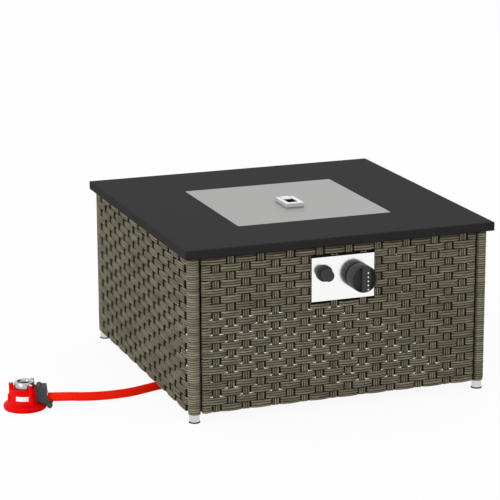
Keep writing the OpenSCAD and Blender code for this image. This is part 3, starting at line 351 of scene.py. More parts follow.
@dataclass(frozen=True)
class Coating:
    """Paint, plastic, rubber or ceramic with a fine grain."""

    name: str
    colour: Colour
    roughness: float
    grains: float = 900.0
    clouds: float = 14.0
    vary: float = 0.12
    depth: float = 0.00004
    specular: float = 0.5
    # Painted shade: the colour is darkened below each height, by its share.
    rim: tuple[tuple[float, float], ...] = ()

    def make(self) -> bpy.types.Material:
        """Gives the finished material."""
        values = _named(self, "Grains", "Clouds", "Vary", "Roughness")
        values["Colour"] = shade(self.colour)
        plain = {"Specular IOR Level": self.specular}
        return _make_material(self.name, Effect.GRAIN, values, plain, self.depth, self.rim)


@dataclass(frozen=True)
class Metal:
    """Bare or plated metal with drawn, turned or polished lines."""

    name: str
    colour: Colour
    roughness: float
    stretch: tuple[float, float, float] = (400.0, 400.0, 400.0)
    vary: float = 0.15
    depth: float = 0.00001

    def make(self) -> bpy.types.Material:
        """Gives the finished material."""
        values = _named(self, "Stretch", "Vary", "Roughness")
        values["Colour"] = shade(self.colour)
        return _make_material(self.name, Effect.BRUSHED, values, {"Metallic": 1.0}, self.depth)


@dataclass(frozen=True)
class Strand:
    """Flat extruded plastic strand in mixed olive and brown."""

    name: str
    olive: Colour
    brown: Colour
    pale: Colour
    streaks: float = 2.2
    spread: float = 0.45
    # Painted shade: how much a strand's edges darken in the grooves between strands.
    groove: float = 0.78
    roughness: float = 0.6
    depth: float = 0.0002
    specular: float = 0.05

    def make(self) -> bpy.types.Material:
        """Gives the finished material."""
        colours = {"Olive": shade(self.olive), "Brown": shade(self.brown), "Pale": shade(self.pale)}
        values = _named(self, "Streaks", "Spread", "Groove", "Roughness") | colours
        plain = {"Specular IOR Level": self.specular}
        return _make_material(self.name, Effect.STRAND, values, plain, self.depth)


class Finish(Enum):
    """Every finish on the table."""

    # The top's front edge gets painted shade, darker still along its lowest strip.
    POWDER_COAT = Coating(
        "powder_coat", (43, 43, 43), 0.86, 1300.0, 9.0, 0.08, 0.00003, 0.12,
        rim=((374.5, 0.76), (358.5, 0.5)),
    )
    PAN_ENAMEL = Coating("pan_enamel", (38, 38, 38), 0.5, specular=0.3)
    FRAME_PAINT = Coating("frame_paint", (22, 22, 22), 0.6, specular=0.1)
    BOX_PAINT = Coating("box_paint", (20, 20, 20), 0.6, specular=0.1)
    BLACK_PLASTIC = Coating("black_plastic", (63, 63, 63), 0.42, 1800.0, 40.0, 0.2, 0.00005, 0.06)
    DARK_PLASTIC = Coating("dark_plastic", (64, 69, 69), 0.6, 1800.0, 40.0, 0.2, 0.00004, 0.15)
    PAD_PLASTIC = Coating("pad_plastic", (26, 26, 26), 0.7, specular=0.15)
    CERAMIC = Coating("ceramic", (232, 226, 216), 0.2, 500.0, 60.0, 0.05)
    LEAD_SKIN = Coating("lead_skin", (24, 24, 24), 0.5, specular=0.3)
    CELL = Coating("cell", (78, 108, 82), 0.35)
    HOSE_RED = Coating("hose_red", (255, 34, 6), 0.6, 2200.0, 30.0, 0.06, 0.00003, 0.05)
    REG_RED = Coating("reg_red", (222, 0, 0), 0.5, 900.0, 40.0, 0.06, 0.00002, 0.06)
    SEAL_RUBBER = Coating("seal_rubber", (20, 20, 20), 0.7, specular=0.2)
    PRINT_WHITE = Coating("print_white", (240, 239, 236), 0.5, 1500.0, 60.0, 0.05, 0.00001, 0.2)
    BRUSHED = Metal("brushed", (147, 147, 145), 0.4, (9.0, 1100.0, 1100.0), 0.1)
    BURNER_STEEL = Metal("burner_steel", (150, 150, 148), 0.4)
    BRIGHT = Metal("bright", (206, 207, 209), 0.1, (110.0, 110.0, 3.0), 0.6)
    HANDLE_STEEL = Metal("handle_steel", (222, 222, 223), 0.58, (260.0, 260.0, 260.0), 0.06)
    SOCKET_STEEL = Metal("socket_steel", (184, 186, 186), 0.16, (30.0, 30.0, 220.0), 0.5)
    ZINC = Metal("zinc", (186, 188, 192), 0.35, (300.0, 300.0, 300.0), 0.25)
    PLATE_STEEL = Metal("plate_steel", (250, 250, 249), 0.16, (900.0, 900.0, 12.0), 0.03, 0.000002)
    BRASS = Metal("brass", (206, 170, 96), 0.3)
    VALVE_BRASS = Metal("valve_brass", (198, 168, 104), 0.42, (700.0, 700.0, 700.0), 0.25, 0.00005)
    ALLOY_PIPE = Metal("alloy_pipe", (205, 207, 210), 0.35)
    COPPER = Metal("copper", (196, 122, 76), 0.3)
    WEAVE = Strand("weave", (102, 98, 82), (107, 97, 82), (151, 144, 123))
    WRAP = Strand("wrap", (111, 108, 90), (115, 108, 91), (156, 150, 128), groove=0.68)

    def material(self) -> bpy.types.Material:
        """Gives the finish's material, made the first time it is asked for."""
        return bpy.data.materials.get(LOOKS + self.value.name) or self.value.make()


def put_finish(piece: Piece, finish: Finish) -> None:
    """Puts one finish all over a piece.

    Args:
        piece: the object to dress.
        finish: the finish it takes.
    """
    material = finish.material()
    if not piece.material_slots:
        piece.data.materials.append(material)
    for slot in piece.material_slots:
        slot.material = material


def new_piece(name: str, places: list, faces: list) -> Piece:
    """Makes a smooth mesh piece at the origin.

    Args:
        name: the piece's name.
        places: its points, in metres.
        faces: the numbers of each face's points.

    Returns:
        The new piece.
    """
    mesh = bpy.data.meshes.new(name)
    mesh.from_pydata(places, [], faces)
    mesh.polygons.foreach_set("use_smooth", np.ones(len(faces), bool))
    mesh.update()
    piece = bpy.data.objects.new(name, mesh)
    bpy.context.scene.collection.objects.link(piece)
    return piece


def declare(piece: Piece, finish: Finish, body: str) -> None:
    """Dresses a new piece, says what it rides on and reports it.

    Args:
        piece: the new piece.
        finish: its finish.
        body: the body that it rides on.
    """
    put_finish(piece, finish)
    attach(piece, body)
    LOG.info("%s: %d faces", piece.name, len(piece.data.polygons))


@dataclass
class StrandBundle:
    """Flat strands swept along paths and gathered in one mesh."""

    rim: tuple[tuple[float, float], ...] = (
        (-0.5, -0.2), (-0.34, -0.5), (0.34, -0.5), (0.5, -0.2),
        (0.5, 0.2), (0.34, 0.5), (-0.34, 0.5), (-0.5, 0.2),
    )
    apart: float = 3.7
    places: list[np.ndarray] = field(default_factory=list)
    faces: list[np.ndarray] = field(default_factory=list)
    caps: list[list[int]] = field(default_factory=list)
    tones: list[np.ndarray] = field(default_factory=list)
    deeps: list[np.ndarray] = field(default_factory=list)
    lies: list[np.ndarray] = field(default_factory=list)
    count: int = 0

    def sweep(
        self,
        path: np.ndarray,
        across: np.ndarray,
        size: tuple[float, float],
        tone: np.ndarray,
        deep: np.ndarray,
        closed: bool = False,
    ) -> None:
        """Adds one strand.

        Args:
            path: the strand's middle line, one row for each point.
            across: the direction of the strand's width.
            size: the strand's width and thickness, in millimetres.
            tone: the tone at each point of the path.
            deep: how far each point lies in the shade of the weave, from nought to one.
            closed: whether the path runs back into its start.
        """
        if closed:
            ahead = np.roll(path, -1, 0) - np.roll(path, 1, 0)
        else:
            ahead = np.gradient(path, axis=0)
        out = unit(np.cross(unit(ahead), across))
        wide, thick = (np.array(self.rim) * size * MM).T
        rings = path[:, None] + wide[:, None] * across + thick[:, None] * out[:, None]
        length, sides = len(path), len(self.rim)
        base = self.count
        here = np.arange(length if closed else length - 1)[:, None]
        k = np.arange(sides)
        after = (k + 1) % sides
        row = base + here * sides
        ahead_row = base + (here + 1) % length * sides
        quads = np.stack([row + k, row + after, ahead_row + after, ahead_row + k], axis=-1)
        self.faces.append(quads.reshape(-1, 4))
        if not closed:
            last = base + (length - 1) * sides
            self.caps.append([base + int(j) for j in k[::-1]])
            self.caps.append([last + int(j) for j in k])
        run = np.concatenate([[0.0], np.cumsum(np.linalg.norm(np.diff(path, axis=0), axis=1))])
        lie = np.zeros((length, sides, 3))
        lie[:, :, 0] = run[:, None]
        lie[:, :, 1] = wide / (size[0] * MM)
        lie[:, :, 2] = len(self.places) * self.apart
        self.places.append(rings.reshape(-1, 3))
        self.tones.append(np.repeat(tone, sides))
        self.deeps.append(np.repeat(deep, sides))
        self.lies.append(lie.reshape(-1, 3))
        self.count += length * sides

    def make(self, name: str) -> Piece:
        """Turns the strands into one object.

        Args:
            name: the object's name.

        Returns:
            The new object, with tone, deep and lie attributes on its points.
        """
        quads = np.concatenate(self.faces).tolist()
        piece = new_piece(name, np.concatenate(self.places).tolist(), quads + self.caps)
        for label, kind, part, values in (
            ("tone", "FLOAT", "value", self.tones),
            ("deep", "FLOAT", "value", self.deeps),
            ("lie", "FLOAT_VECTOR", "vector", self.lies),
        ):
            numbers = piece.data.attributes.new(label, kind, "POINT")
            numbers.data.foreach_set(part, np.concatenate(values).astype(np.float32).ravel())
        return piece


class Side(Enum):
    """The four woven faces, each by the way it looks."""

    FRONT = (0.0, -1.0)
    BACK = (0.0, 1.0)
    LEFT = (-1.0, 0.0)
    RIGHT = (1.0, 0.0)

    @property
    def out(self) -> np.ndarray:
        """The way out of the face."""
        return np.array([self.value[0], self.value[1], 0.0])

    @property
    def along(self) -> np.ndarray:
        """The way to the right along the face, seen from outside."""
        return np.array([-self.value[1], self.value[0], 0.0])

    @property
    def between_posts(self) -> bool:
        """Whether the face is a panel of its own, set between the posts."""
        return self in (Side.FRONT, Side.BACK)


@dataclass(frozen=True)
class BandLine:
    """The middle line of one woven band, seen from above."""

    along: np.ndarray
    depth: np.ndarray
    deep: np.ndarray
    rise: np.ndarray
    stake: np.ndarray

    def turned_in(self, bends: Sequence[tuple[float, float]]) -> BandLine:
        """Carries both ends on past the face's edge.

        Args:
            bends: how far past the end, and how much deeper than it, each further point lies.

        Returns:
            The longer line.
        """
        past, deeper = np.array(bends).T
        count = len(past)
        return BandLine(
            np.concatenate([self.along[0] - past[::-1], self.along, self.along[-1] + past]),
            np.concatenate([self.depth[0] + deeper[::-1], self.depth, self.depth[-1] + deeper]),
            *(
                np.concatenate([[values[0]] * count, values, [values[-1]] * count])
                for values in (self.deep, self.rise, self.stake)
            ),
        )

    def between(self, low: float, high: float, tones: np.ndarray) -> tuple[np.ndarray, ...]:
        """Takes the part of the line between two places.

        Args:
            low: the left end.
            high: the right end.
            tones: the tone at each point of the whole line.

        Returns:
            The places, depths, shades, rises and tones of that part.
        """
        inner = (self.along > low) & (self.along < high)
        ends = [stop for stop in (low, high) if self.along[0] < stop < self.along[-1]]
        places = np.sort(np.concatenate([self.along[inner], ends]))
        if len(ends) == 0:
            return self.along, self.depth, self.deep, self.rise, tones
        nearest = np.abs(places[:, None] - self.along[None, :]).argmin(1)
        lines = (self.depth, self.deep, self.rise)
        return (places, *(np.interp(places, self.along, line) for line in lines), tones[nearest])


@dataclass(frozen=True)
class Swing:
    """How a face's bands go over its stakes, down beside them and past the face's ends."""

    stakes: int
    step: float
    reach: float
    bends: tuple[tuple[float, float], ...]
    bow: float
    flat: float
    dive: float
    smile: float
    stake_shade: float
    pinch: float
    crest: tuple[float, ...] = (0.0, 7.0, 12.0, 16.0)
    steep: tuple[float, ...] = (0.0, 0.28, 0.62, 1.0)

    def places(self) -> np.ndarray:
        """Gives the stakes' places along the face, from its left end."""
        return (np.arange(self.stakes) - (self.stakes - 1) / 2) * self.step

    def marks(self) -> np.ndarray:
        """Gives the distances from a stake's middle at which a band is shaped, from nought up."""
        steep = self.flat + (self.dive - self.flat) * np.array(self.steep)
        return np.concatenate([self.crest, steep, [self.step]])


@dataclass
class WovenBody:
    """The four woven faces and the wound corner posts."""

    half: float = 340.0
    top: float = 356.0
    foot: float = 20.0
    rows: int = 20
    band: tuple[float, float] = (5.3, 3.0)
    band_step: float = 5.45
    stake: tuple[float, float] = (5.0, 3.0)
    stake_step: float = 5.2
    front_depth: float = 0.8
    stake_depth: float = 4.4
    back_depth: float = 7.4
    panel_swing: Swing = Swing(
        stakes=18, step=33.0, reach=306.0, bends=((2.8, 1.4), (4.0, 5.2), (4.0, 8.7)),
        bow=1.6, flat=21.2, dive=24.8, smile=0.7, stake_shade=1.7, pinch=0.0,
    )
    side_swing: Swing = Swing(
        stakes=17, step=35.4, reach=312.0, bends=((6.0, 1.0), (10.0, 2.0)),
        bow=0.6, flat=23.0, dive=26.8, smile=0.0, stake_shade=5.4, pinch=0.08,
    )
    end_room: float = 1.0
    crossing: float = 0.2
    crossing_edge: float = 1.2
    crossing_shade: float = 0.15
    window: tuple[float, float, float, float] = (-70.5, 74.5, 236.0, 334.0)
    window_room: tuple[float, float] = (2.0, 4.0)
    post: float = 326.0
    post_radius: float = 14.0
    post_foot: float = 18.4
    wrap: tuple[float, float] = (4.8, 1.6)
    wrap_points: int = 20
    wraps: int = 68
    wrap_slack: float = 0.35
    wrap_taper: float = 0.7
    tapered_wraps: float = 2.0
    gap_shade: float = 0.14
    gap_facing: tuple[float, float] = (0.5, 0.4)
    eave_shade: float = 0.09
    face_seed: int = 100
    post_seed: int = 31

    @property
    def row_step(self) -> float:
        """The height of one row of the weave."""
        return (self.top - self.foot) / self.rows

    def place(
        self, side: Side, along: np.ndarray, depth: np.ndarray, height: np.ndarray
    ) -> np.ndarray:
        """Turns places on a face into the shared frame.

        Args:
            side: the woven face.
            along: the places along the face.
            depth: how far each lies inside the face's outer plane.
            height: the heights above the floor.

        Returns:
            One row for each point, in metres.
        """
        flat = along[:, None] * side.along + (self.half - depth)[:, None] * side.out
        flat[:, 1] += MIDDLE_Y
        flat[:, 2] = height
        return flat * MM

    def swing(self, side: Side) -> Swing:
        """Gives the way that a face's bands go down."""
        return self.panel_swing if side.between_posts else self.side_swing

    def sink(self, swing: Swing, away: np.ndarray) -> tuple[np.ndarray, np.ndarray]:
        """Follows a band down from the stake that it passes over.

        Args:
            swing: the way that the face's bands go down.
            away: distances from the middle of that stake.

        Returns:
            The depth at each distance, and how far down the dive it is, from nought to one.
        """
        bow = swing.bow * np.minimum(away / swing.flat, 1.0) ** 2
        share = np.clip((away - swing.flat) / (swing.dive - swing.flat), 0.0, 1.0)
        fall = share * share * (3.0 - 2.0 * share)
        drop = self.back_depth - self.front_depth - swing.bow
        return self.front_depth + bow + drop * fall, fall

    def band_line(self, side: Side, row: int) -> BandLine:
        """Follows one band of a face over and under its stakes.

        Args:
            side: the woven face.
            row: the band's row from the top, from nought.

        Returns:
            The band's middle line.
        """
        swing = self.swing(side)
        stakes = swing.places()
        odd = row % 2 if side.between_posts else (row + 1) % 2
        over = stakes[0] - (2 - odd) * swing.step + 2 * swing.step * np.arange(len(stakes) // 2 + 3)
        marks = swing.marks()
        samples = np.concatenate([over[:, None] - marks, over[:, None] + marks], axis=1).ravel()
        samples = samples[np.abs(samples) < swing.reach - self.end_room]
        samples = np.unique(np.round(samples, 2))
        samples = np.concatenate([[-swing.reach], samples, [swing.reach]])
        near = np.abs(samples[:, None] - over[None, :])
        away = near.min(1)
        if side.between_posts:
            nearest = np.abs(over[near.argmin(1)])
            ends = (np.abs(samples) > stakes[-1]) & (nearest < stakes[-1] + self.end_room)
            away = np.where(ends, np.minimum(away, swing.flat), away)
        depth, deep = self.sink(swing, away)
        rise = swing.smile * (np.minimum(away / swing.dive, 1.0) ** 2 - 0.5)
        return BandLine(samples, depth, deep, rise, near.argmin(1)).turned_in(swing.bends)

    def stake_marks(self, side: Side, number: int) -> tuple[np.ndarray, np.ndarray]:
        """Finds where a stake lies in the shade of the bands that cross it.

        Args:
            side: the woven face.
            number: the stake's number from the face's left end.

        Returns:
            Heights from the foot up, and the shade at each.
        """
        heights: list[float] = []
        shades: list[float] = []
        for row in range(self.rows - 1, -1, -1):
            high = self.top - self.row_step * row
            bare = (number + row) % 2 == (1 if side.between_posts else 0)
            shaded = high - self.swing(side).stake_shade
            low = high - self.row_step + self.crossing
            heights += [low, shaded - self.crossing_edge, shaded, high - self.crossing]
            dark = self.crossing_shade
            shades += [0.0, 0.0, dark, dark] if bare else [dark, dark, dark, 0.0]
        return np.array(heights), np.array(shades)

    def under_eave(self, height: float) -> float:
        """Gives the shade on a strand that lies close under the table top."""
        return self.eave_shade if height > self.top - self.band_step else 0.0

    def weave_face(self, side: Side, seed: int) -> Piece:
        """Weaves one face.

        Args:
            side: the woven face.
            seed: the start of the face's mix of tones.

        Returns:
            The face's object.
        """
        rng = np.random.default_rng(seed)
        bundle = StrandBundle()
        low_x, high_x, low_z, high_z = self.window
        below, above = self.window_room
        swing = self.swing(side)
        for row in range(self.rows):
            band = self.band_line(side, row)
            middle = self.top - self.row_step * (row + 0.5)
            for strand in (-1, 0, 1):
                height = middle + strand * self.band_step
                tones = rng.uniform(0, 1, band.stake.max() + 1)[band.stake]
                cut = side is Side.FRONT and low_z - below < height < high_z + above
                ends = (-self.half, low_x), (high_x, self.half)
                spans = ends if cut else ((-self.half, self.half),)
                for low, high in spans:
                    along, depth, deep, rise, tone = band.between(low, high, tones)
                    # The band's share of its dive, which also sets its painted shade, draws the side
                    # faces' strands together.
                    drawn_in = strand * self.band_step * swing.pinch * deep
                    path = self.place(side, along, depth, height + rise - drawn_in)
                    bundle.sweep(path, UP, self.band, tone, deep + self.under_eave(height))
        for number, stake in enumerate(swing.places()):
            marks, shades = self.stake_marks(side, number)
            for strand in (-1, 0, 1):
                spot = stake + strand * self.stake_step
                cut = side is Side.FRONT and low_x < spot < high_x
                ends = (self.foot, low_z), (high_z, self.top)
                spans = ends if cut else ((self.foot, self.top),)
                for low, high in spans:
                    inner = marks[(marks > low) & (marks < high)]
                    heights = np.concatenate([[low], inner, [high]])
                    level = np.ones(len(heights))
                    path = self.place(side, level * spot, level * self.stake_depth, heights)
                    tone = level * rng.uniform(0, 1)
                    deep = np.interp(heights, marks, shades)
                    bundle.sweep(path, side.along, self.stake, tone, deep)
        return bundle.make(side.name.lower() + "_woven_face")

    def wind_posts(self) -> Piece:
        """Winds the four corner posts with rings of strand.

        Returns:
            The windings' object.
        """
        rng = np.random.default_rng(self.post_seed)
        bundle = StrandBundle()
        spin = np.linspace(0.0, 2.0 * math.pi, self.wrap_points, endpoint=False)
        first, over = self.gap_facing
        step = (self.top - self.post_foot) / self.wraps
        for x, y in itertools.product((-self.post, self.post), repeat=2):
            turn = spin + math.atan2(-y, -x)
            facing = -math.copysign(1.0, x) * np.cos(turn)
            gap = self.gap_shade * np.clip((facing - first) / over, 0.0, 1.0)
            for ring in range(self.wraps):
                height = self.top - step * (ring + 0.5)
                radius = self.post_radius - self.wrap[1] / 2 - rng.uniform(0.0, self.wrap_slack)
                radius -= max(0.0, ring - self.wraps + self.tapered_wraps) * self.wrap_taper
                path = np.empty((len(spin), 3))
                path[:, 0] = x + radius * np.cos(turn)
                path[:, 1] = y + radius * np.sin(turn) + MIDDLE_Y
                path[:, 2] = height
                tone = np.full(len(path), rng.uniform(0, 1))
                deep = gap + self.under_eave(height)
                bundle.sweep(path * MM, UP, self.wrap, tone, deep, closed=True)
        return bundle.make("post_windings")

    def build(self) -> None:
        """Weaves and dresses the whole body."""
        for number, side in enumerate(Side):
            face = self.weave_face(side, self.face_seed + number)
            declare(face, Finish.WEAVE, "table")
            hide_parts(side.name.lower() + "_weave")
        posts = self.wind_posts()
        declare(posts, Finish.WRAP, "table")
        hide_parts("post_wraps")


@dataclass
class GasHose:
    """The red hose from the valve, under the left face, to the clip-on regulator."""

    diameter: float = 19.0
    sides: int = 24
    steps: int = 4
    start: tuple[float, float, float] = (37.0, -309.0, 243.0)
    drops: tuple[float, ...] = (0.0, 18.0, 38.0, 77.0)
    floor: tuple[tuple[float, float, float], ...] = (
        (33, -305, 112), (18, -290, 62), (-7, -263, 28), (-40, -228, 12.8), (-72, -188, 10.1),
        (-105, -146, 9.7), (-145, -110, 9.7), (-195, -87, 9.7), (-245, -79, 9.7), (-295, -84, 9.7),
        (-335, -95, 9.7), (-370, -107, 9.7), (-403, -117.5, 10.1), (-444, -124.5, 11.7),
        (-479.5, -128, 14), (-509.5, -129.5, 17), (-534.5, -129, 20), (-554.5, -127, 21.5),
        (-571, -123.5, 22),
    )
    turn: float = -18.0
    tail: tuple[float, ...] = (52.0, 44.0, 36.0)
    outlet: float = 22.0

    def line(self) -> np.ndarray:
        """Gives the hose's smooth middle line.

        Returns:
            One row for each point, in metres in the shared frame.
        """
        way = (math.cos(math.radians(self.turn)), math.sin(math.radians(self.turn)))
        marks = [(self.start[0], self.start[1], self.start[2] - drop) for drop in self.drops]
        marks += list(self.floor)
        x, y = REGULATOR
        marks += [(x + d * way[0], y + d * way[1], self.outlet) for d in self.tail]
        knots = np.array(marks)
        knots = np.concatenate([2 * knots[:1] - knots[1:2], knots, 2 * knots[-1:] - knots[-2:-1]])
        points = []
        # Each stretch is the cubic that passes through its two knots with its neighbours' slopes.
        for i in range(1, len(knots) - 2):
            a, b, c, d = knots[i - 1], knots[i], knots[i + 1], knots[i + 2]
            for step in range(self.steps):
                t = step / self.steps
                bend = (2 * a - 5 * b + 4 * c - d) * t**2
                twist = (3 * b - a - 3 * c + d) * t**3
                points.append(0.5 * (2 * b + (c - a) * t + bend + twist))
        points.append(knots[-2])
        line = np.array(points)
        line[:, 1] += MIDDLE_Y
        return line * MM

    def build(self) -> None:
        line = self.line()
        ahead = unit(np.gradient(line, axis=0))
        side = np.cross(ahead[0], [0.0, 1.0, 0.0])
        spin = np.linspace(0, 2 * math.pi, self.sides, endpoint=False)
        verts: list[list[float]] = []
        radius = self.diameter / 2 * MM
        for point, way in zip(line, ahead):
            side = unit(side - way * (side @ way))
            up = np.cross(way, side)
            ring = point + radius * (np.cos(spin)[:, None] * side + np.sin(spin)[:, None] * up)
            verts += ring.tolist()
        n = self.sides
        faces = [
            [i * n + k, i * n + (k + 1) % n, (i + 1) * n + (k + 1) % n, (i + 1) * n + k]
            for i in range(len(line) - 1)
            for k in range(n)
        ]
        faces += [list(range(n))[::-1], [(len(line) - 1) * n + k for k in range(n)]]
        hose = new_piece("red_gas_hose", verts, faces)
        declare(hose, Finish.HOSE_RED, "table")
        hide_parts("gas_hose")


def start_edit() -> None:
    """Goes into edit mode with the whole piece selected."""
    bpy.ops.object.mode_set(mode="EDIT")
    bpy.ops.mesh.select_all(action="SELECT")


def extrude(x: float, y: float, z: float) -> None:
    """Extrudes the selected faces by a way in millimetres."""
    bpy.ops.mesh.extrude_region_move(TRANSFORM_OT_translate={"value": (x * MM, y * MM, z * MM)})


def add_plate(
    middle: Vector, width: float, length: float, angle: tuple[float, float, float] = (0.0, 0.0, 0.0)
) -> Piece:
    """Adds a flat plate and goes into edit mode on it.

    Args:
        middle: the plate's middle, in metres.
        width: its size along its own x, in millimetres.
        length: its size along its own y, in millimetres.
        angle: its turn about each axis.

    Returns:
        The plate, with its place in its mesh.
    """
    bpy.ops.object.select_all(action="DESELECT")
    bpy.ops.mesh.primitive_plane_add(size=1.0, location=middle, rotation=angle)
    plate = bpy.context.object
    plate.scale = (width * MM, length * MM, 1.0)
    bpy.ops.object.transform_apply(location=True, rotation=True, scale=True)
    start_edit()
    return plate


def pick_faces(piece: Piece, wanted: Callable[[bmesh.types.BMFace], bool]) -> None:
    """Selects, in edit mode, the faces that pass a test.

    Args:
        piece: the object being edited.
        wanted: the test, asked of each face.
    """
    bpy.ops.mesh.select_mode(type="FACE")
    bpy.ops.mesh.select_all(action="DESELECT")
    mesh = bmesh.from_edit_mesh(piece.data)
    for face in mesh.faces:
        if wanted(face):
            face.select_set(True)
    bmesh.update_edit_mesh(piece.data)


def close_piece(name: str, finish: Finish, body: str) -> Piece:
    """Leaves edit mode and finishes the piece that was being modelled.

    Args:
        name: the piece's name.
        finish: its finish.
        body: the body that it rides on.

    Returns:
        The finished piece, at the origin with its place in its mesh.
    """
    bpy.ops.mesh.select_all(action="SELECT")
    bpy.ops.mesh.remove_doubles(threshold=MERGE_REACH)
    bpy.ops.mesh.normals_make_consistent(inside=False)
    bpy.ops.object.mode_set(mode="OBJECT")
    piece = bpy.context.object
    piece.name = name
    piece.data.name = name
    bpy.ops.object.transform_apply(location=True, rotation=True, scale=True)
    bpy.ops.object.shade_smooth_by_angle(angle=SMOOTH_ANGLE)
    declare(piece, finish, body)
    return piece


@dataclass
class KnobMarks:
    """The row of pale dots printed down the knob's grip."""

    x: float = 45.0
    face_y: float = -374.0
    heights: tuple[float, ...] = (298.5, 289.5, 280.5, 271.5, 262.5)
    radius: float = 1.6
    thickness: float = 0.3
    edge: float = 0.32
    sides: int = 20

    def build(self) -> None:
        """Models and dresses the dots."""
        bpy.ops.object.select_all(action="DESELECT")
        dots = []
        for height in self.heights:
            bpy.ops.mesh.primitive_circle_add(
                vertices=self.sides,
                radius=self.radius * MM,
                fill_type="NGON",
                location=at(self.x, self.face_y, height),
                rotation=(math.pi / 2, 0.0, 0.0),
            )
            dots.append(bpy.context.object)
        for dot in dots:
            dot.select_set(True)
        bpy.context.view_layer.objects.active = dots[0]
        bpy.ops.object.join()
        piece = bpy.context.object
        start_edit()
        extrude(0.0, -self.thickness, 0.0)
        pick_faces(piece, lambda face: abs(face.normal.z) > FACING and len(face.verts) > 4)
        bpy.ops.mesh.inset(thickness=self.edge * MM)
        close_piece("knob_marks", Finish.PRINT_WHITE, "knob")


@dataclass
class RegulatorLabel:
    """The blank pale label bent round the regulator's neck."""

    first_angle: float = -86.0
    sweep: float = 56.0
    low: float = 22.0
    high: float = 32.0
    radius: float = 30.3
    thickness: float = 0.8
    taper: float = 0.4
    steps: int = 18

    def build(self) -> None:
        """Models and dresses the label."""
        angle = math.radians(self.first_angle)
        way = Vector((math.cos(angle), math.sin(angle), 0.0))
        middle = at(*REGULATOR, (self.low + self.high) / 2)
        out = middle + way * self.radius * MM
        piece = add_plate(out, self.thickness, self.high - self.low, (math.pi / 2, 0.0, angle))
        bpy.ops.mesh.select_mode(type="VERT")
        bpy.ops.mesh.select_all(action="DESELECT")
        mesh = bmesh.from_edit_mesh(piece.data)
        for vert in mesh.verts:
            vert.select_set(vert.co.z > middle.z)
        bmesh.update_edit_mesh(piece.data)
        bpy.ops.transform.translate(value=way * -self.taper * MM)
        bpy.ops.mesh.select_all(action="SELECT")
        bpy.ops.mesh.spin(
            steps=self.steps, angle=math.radians(self.sweep), center=middle, axis=(0.0, 0.0, 1.0)
        )
        close_piece("regulator_label", Finish.PRINT_WHITE, "table")


@dataclass
class HandleWell:
    """The dark tray in the opening of the lid's handle: a rest pad whose raised dark walls line the
    opening as painted shade.
    """

    x: float = 2.0
    near: float = -53.3
    far: float = -21.6
    half: float = 10.9
    floor: float = 375.5
    thickness: float = 0.3
    corner: float = 1.5
    corner_steps: int = 4
    wall: float = 0.8
    wall_height: float = 7.0

    def build(self) -> None:
        """Models and dresses the tray."""
        middle = at(self.x, (self.near + self.far) / 2, self.floor)
        piece = add_plate(middle, 2 * self.half, self.far - self.near)
        bpy.ops.mesh.bevel(offset=self.corner * MM, segments=self.corner_steps, affect="VERTICES")
        bpy.ops.mesh.select_all(action="SELECT")
        extrude(0.0, 0.0, self.thickness)
        pick_faces(piece, lambda face: face.normal.z > FACING)
        bpy.ops.mesh.inset(thickness=self.wall * MM)
        # The raised dark walls stand in for the shade inside the handle's opening.
        pick_faces(piece, lambda face: face.normal.z > FACING and len(face.verts) == 4)
        extrude(0.0, 0.0, self.wall_height)
        close_piece("handle_rest_and_shade_liner", Finish.PAD_PLASTIC, "lid")


@dataclass
class ReturnSpring:
    """A coil spring that is pressed together behind the igniter's button or the knob."""

    name: str
    node: str
    joint: str
    middle: tuple[float, float]
    radius: float
    back: float
    travel: float
    length: float = 7.0
    wire: float = 0.9
    turns: int = 4
    steps: int = 16
    sides: int = 8

    def build(self) -> None:
        """Models and dresses the spring."""
        bpy.ops.object.select_all(action="DESELECT")
        bpy.ops.mesh.primitive_circle_add(vertices=self.sides, radius=self.wire / 2 * MM)
        piece = bpy.context.object
        start_edit()
        bpy.ops.transform.translate(value=(self.radius * MM, 0.0, 0.0))
        bpy.ops.object.mode_set(mode="OBJECT")
        coil = piece.modifiers.new("coil", "SCREW")
        coil.axis = "Y"
        coil.steps = self.steps
        coil.render_steps = self.steps
        coil.iterations = self.turns
        coil.screw_offset = (self.length - 2 * self.wire) / self.turns * MM
        bpy.ops.object.modifier_apply(modifier=coil.name)
        piece.location = at(self.middle[0], self.back - self.length + self.wire, self.middle[1])
        start_edit()
        bpy.ops.mesh.fill_holes(sides=0)
        spring = close_piece(self.name, Finish.ZINC, "table")
        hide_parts(self.node)
        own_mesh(spring)


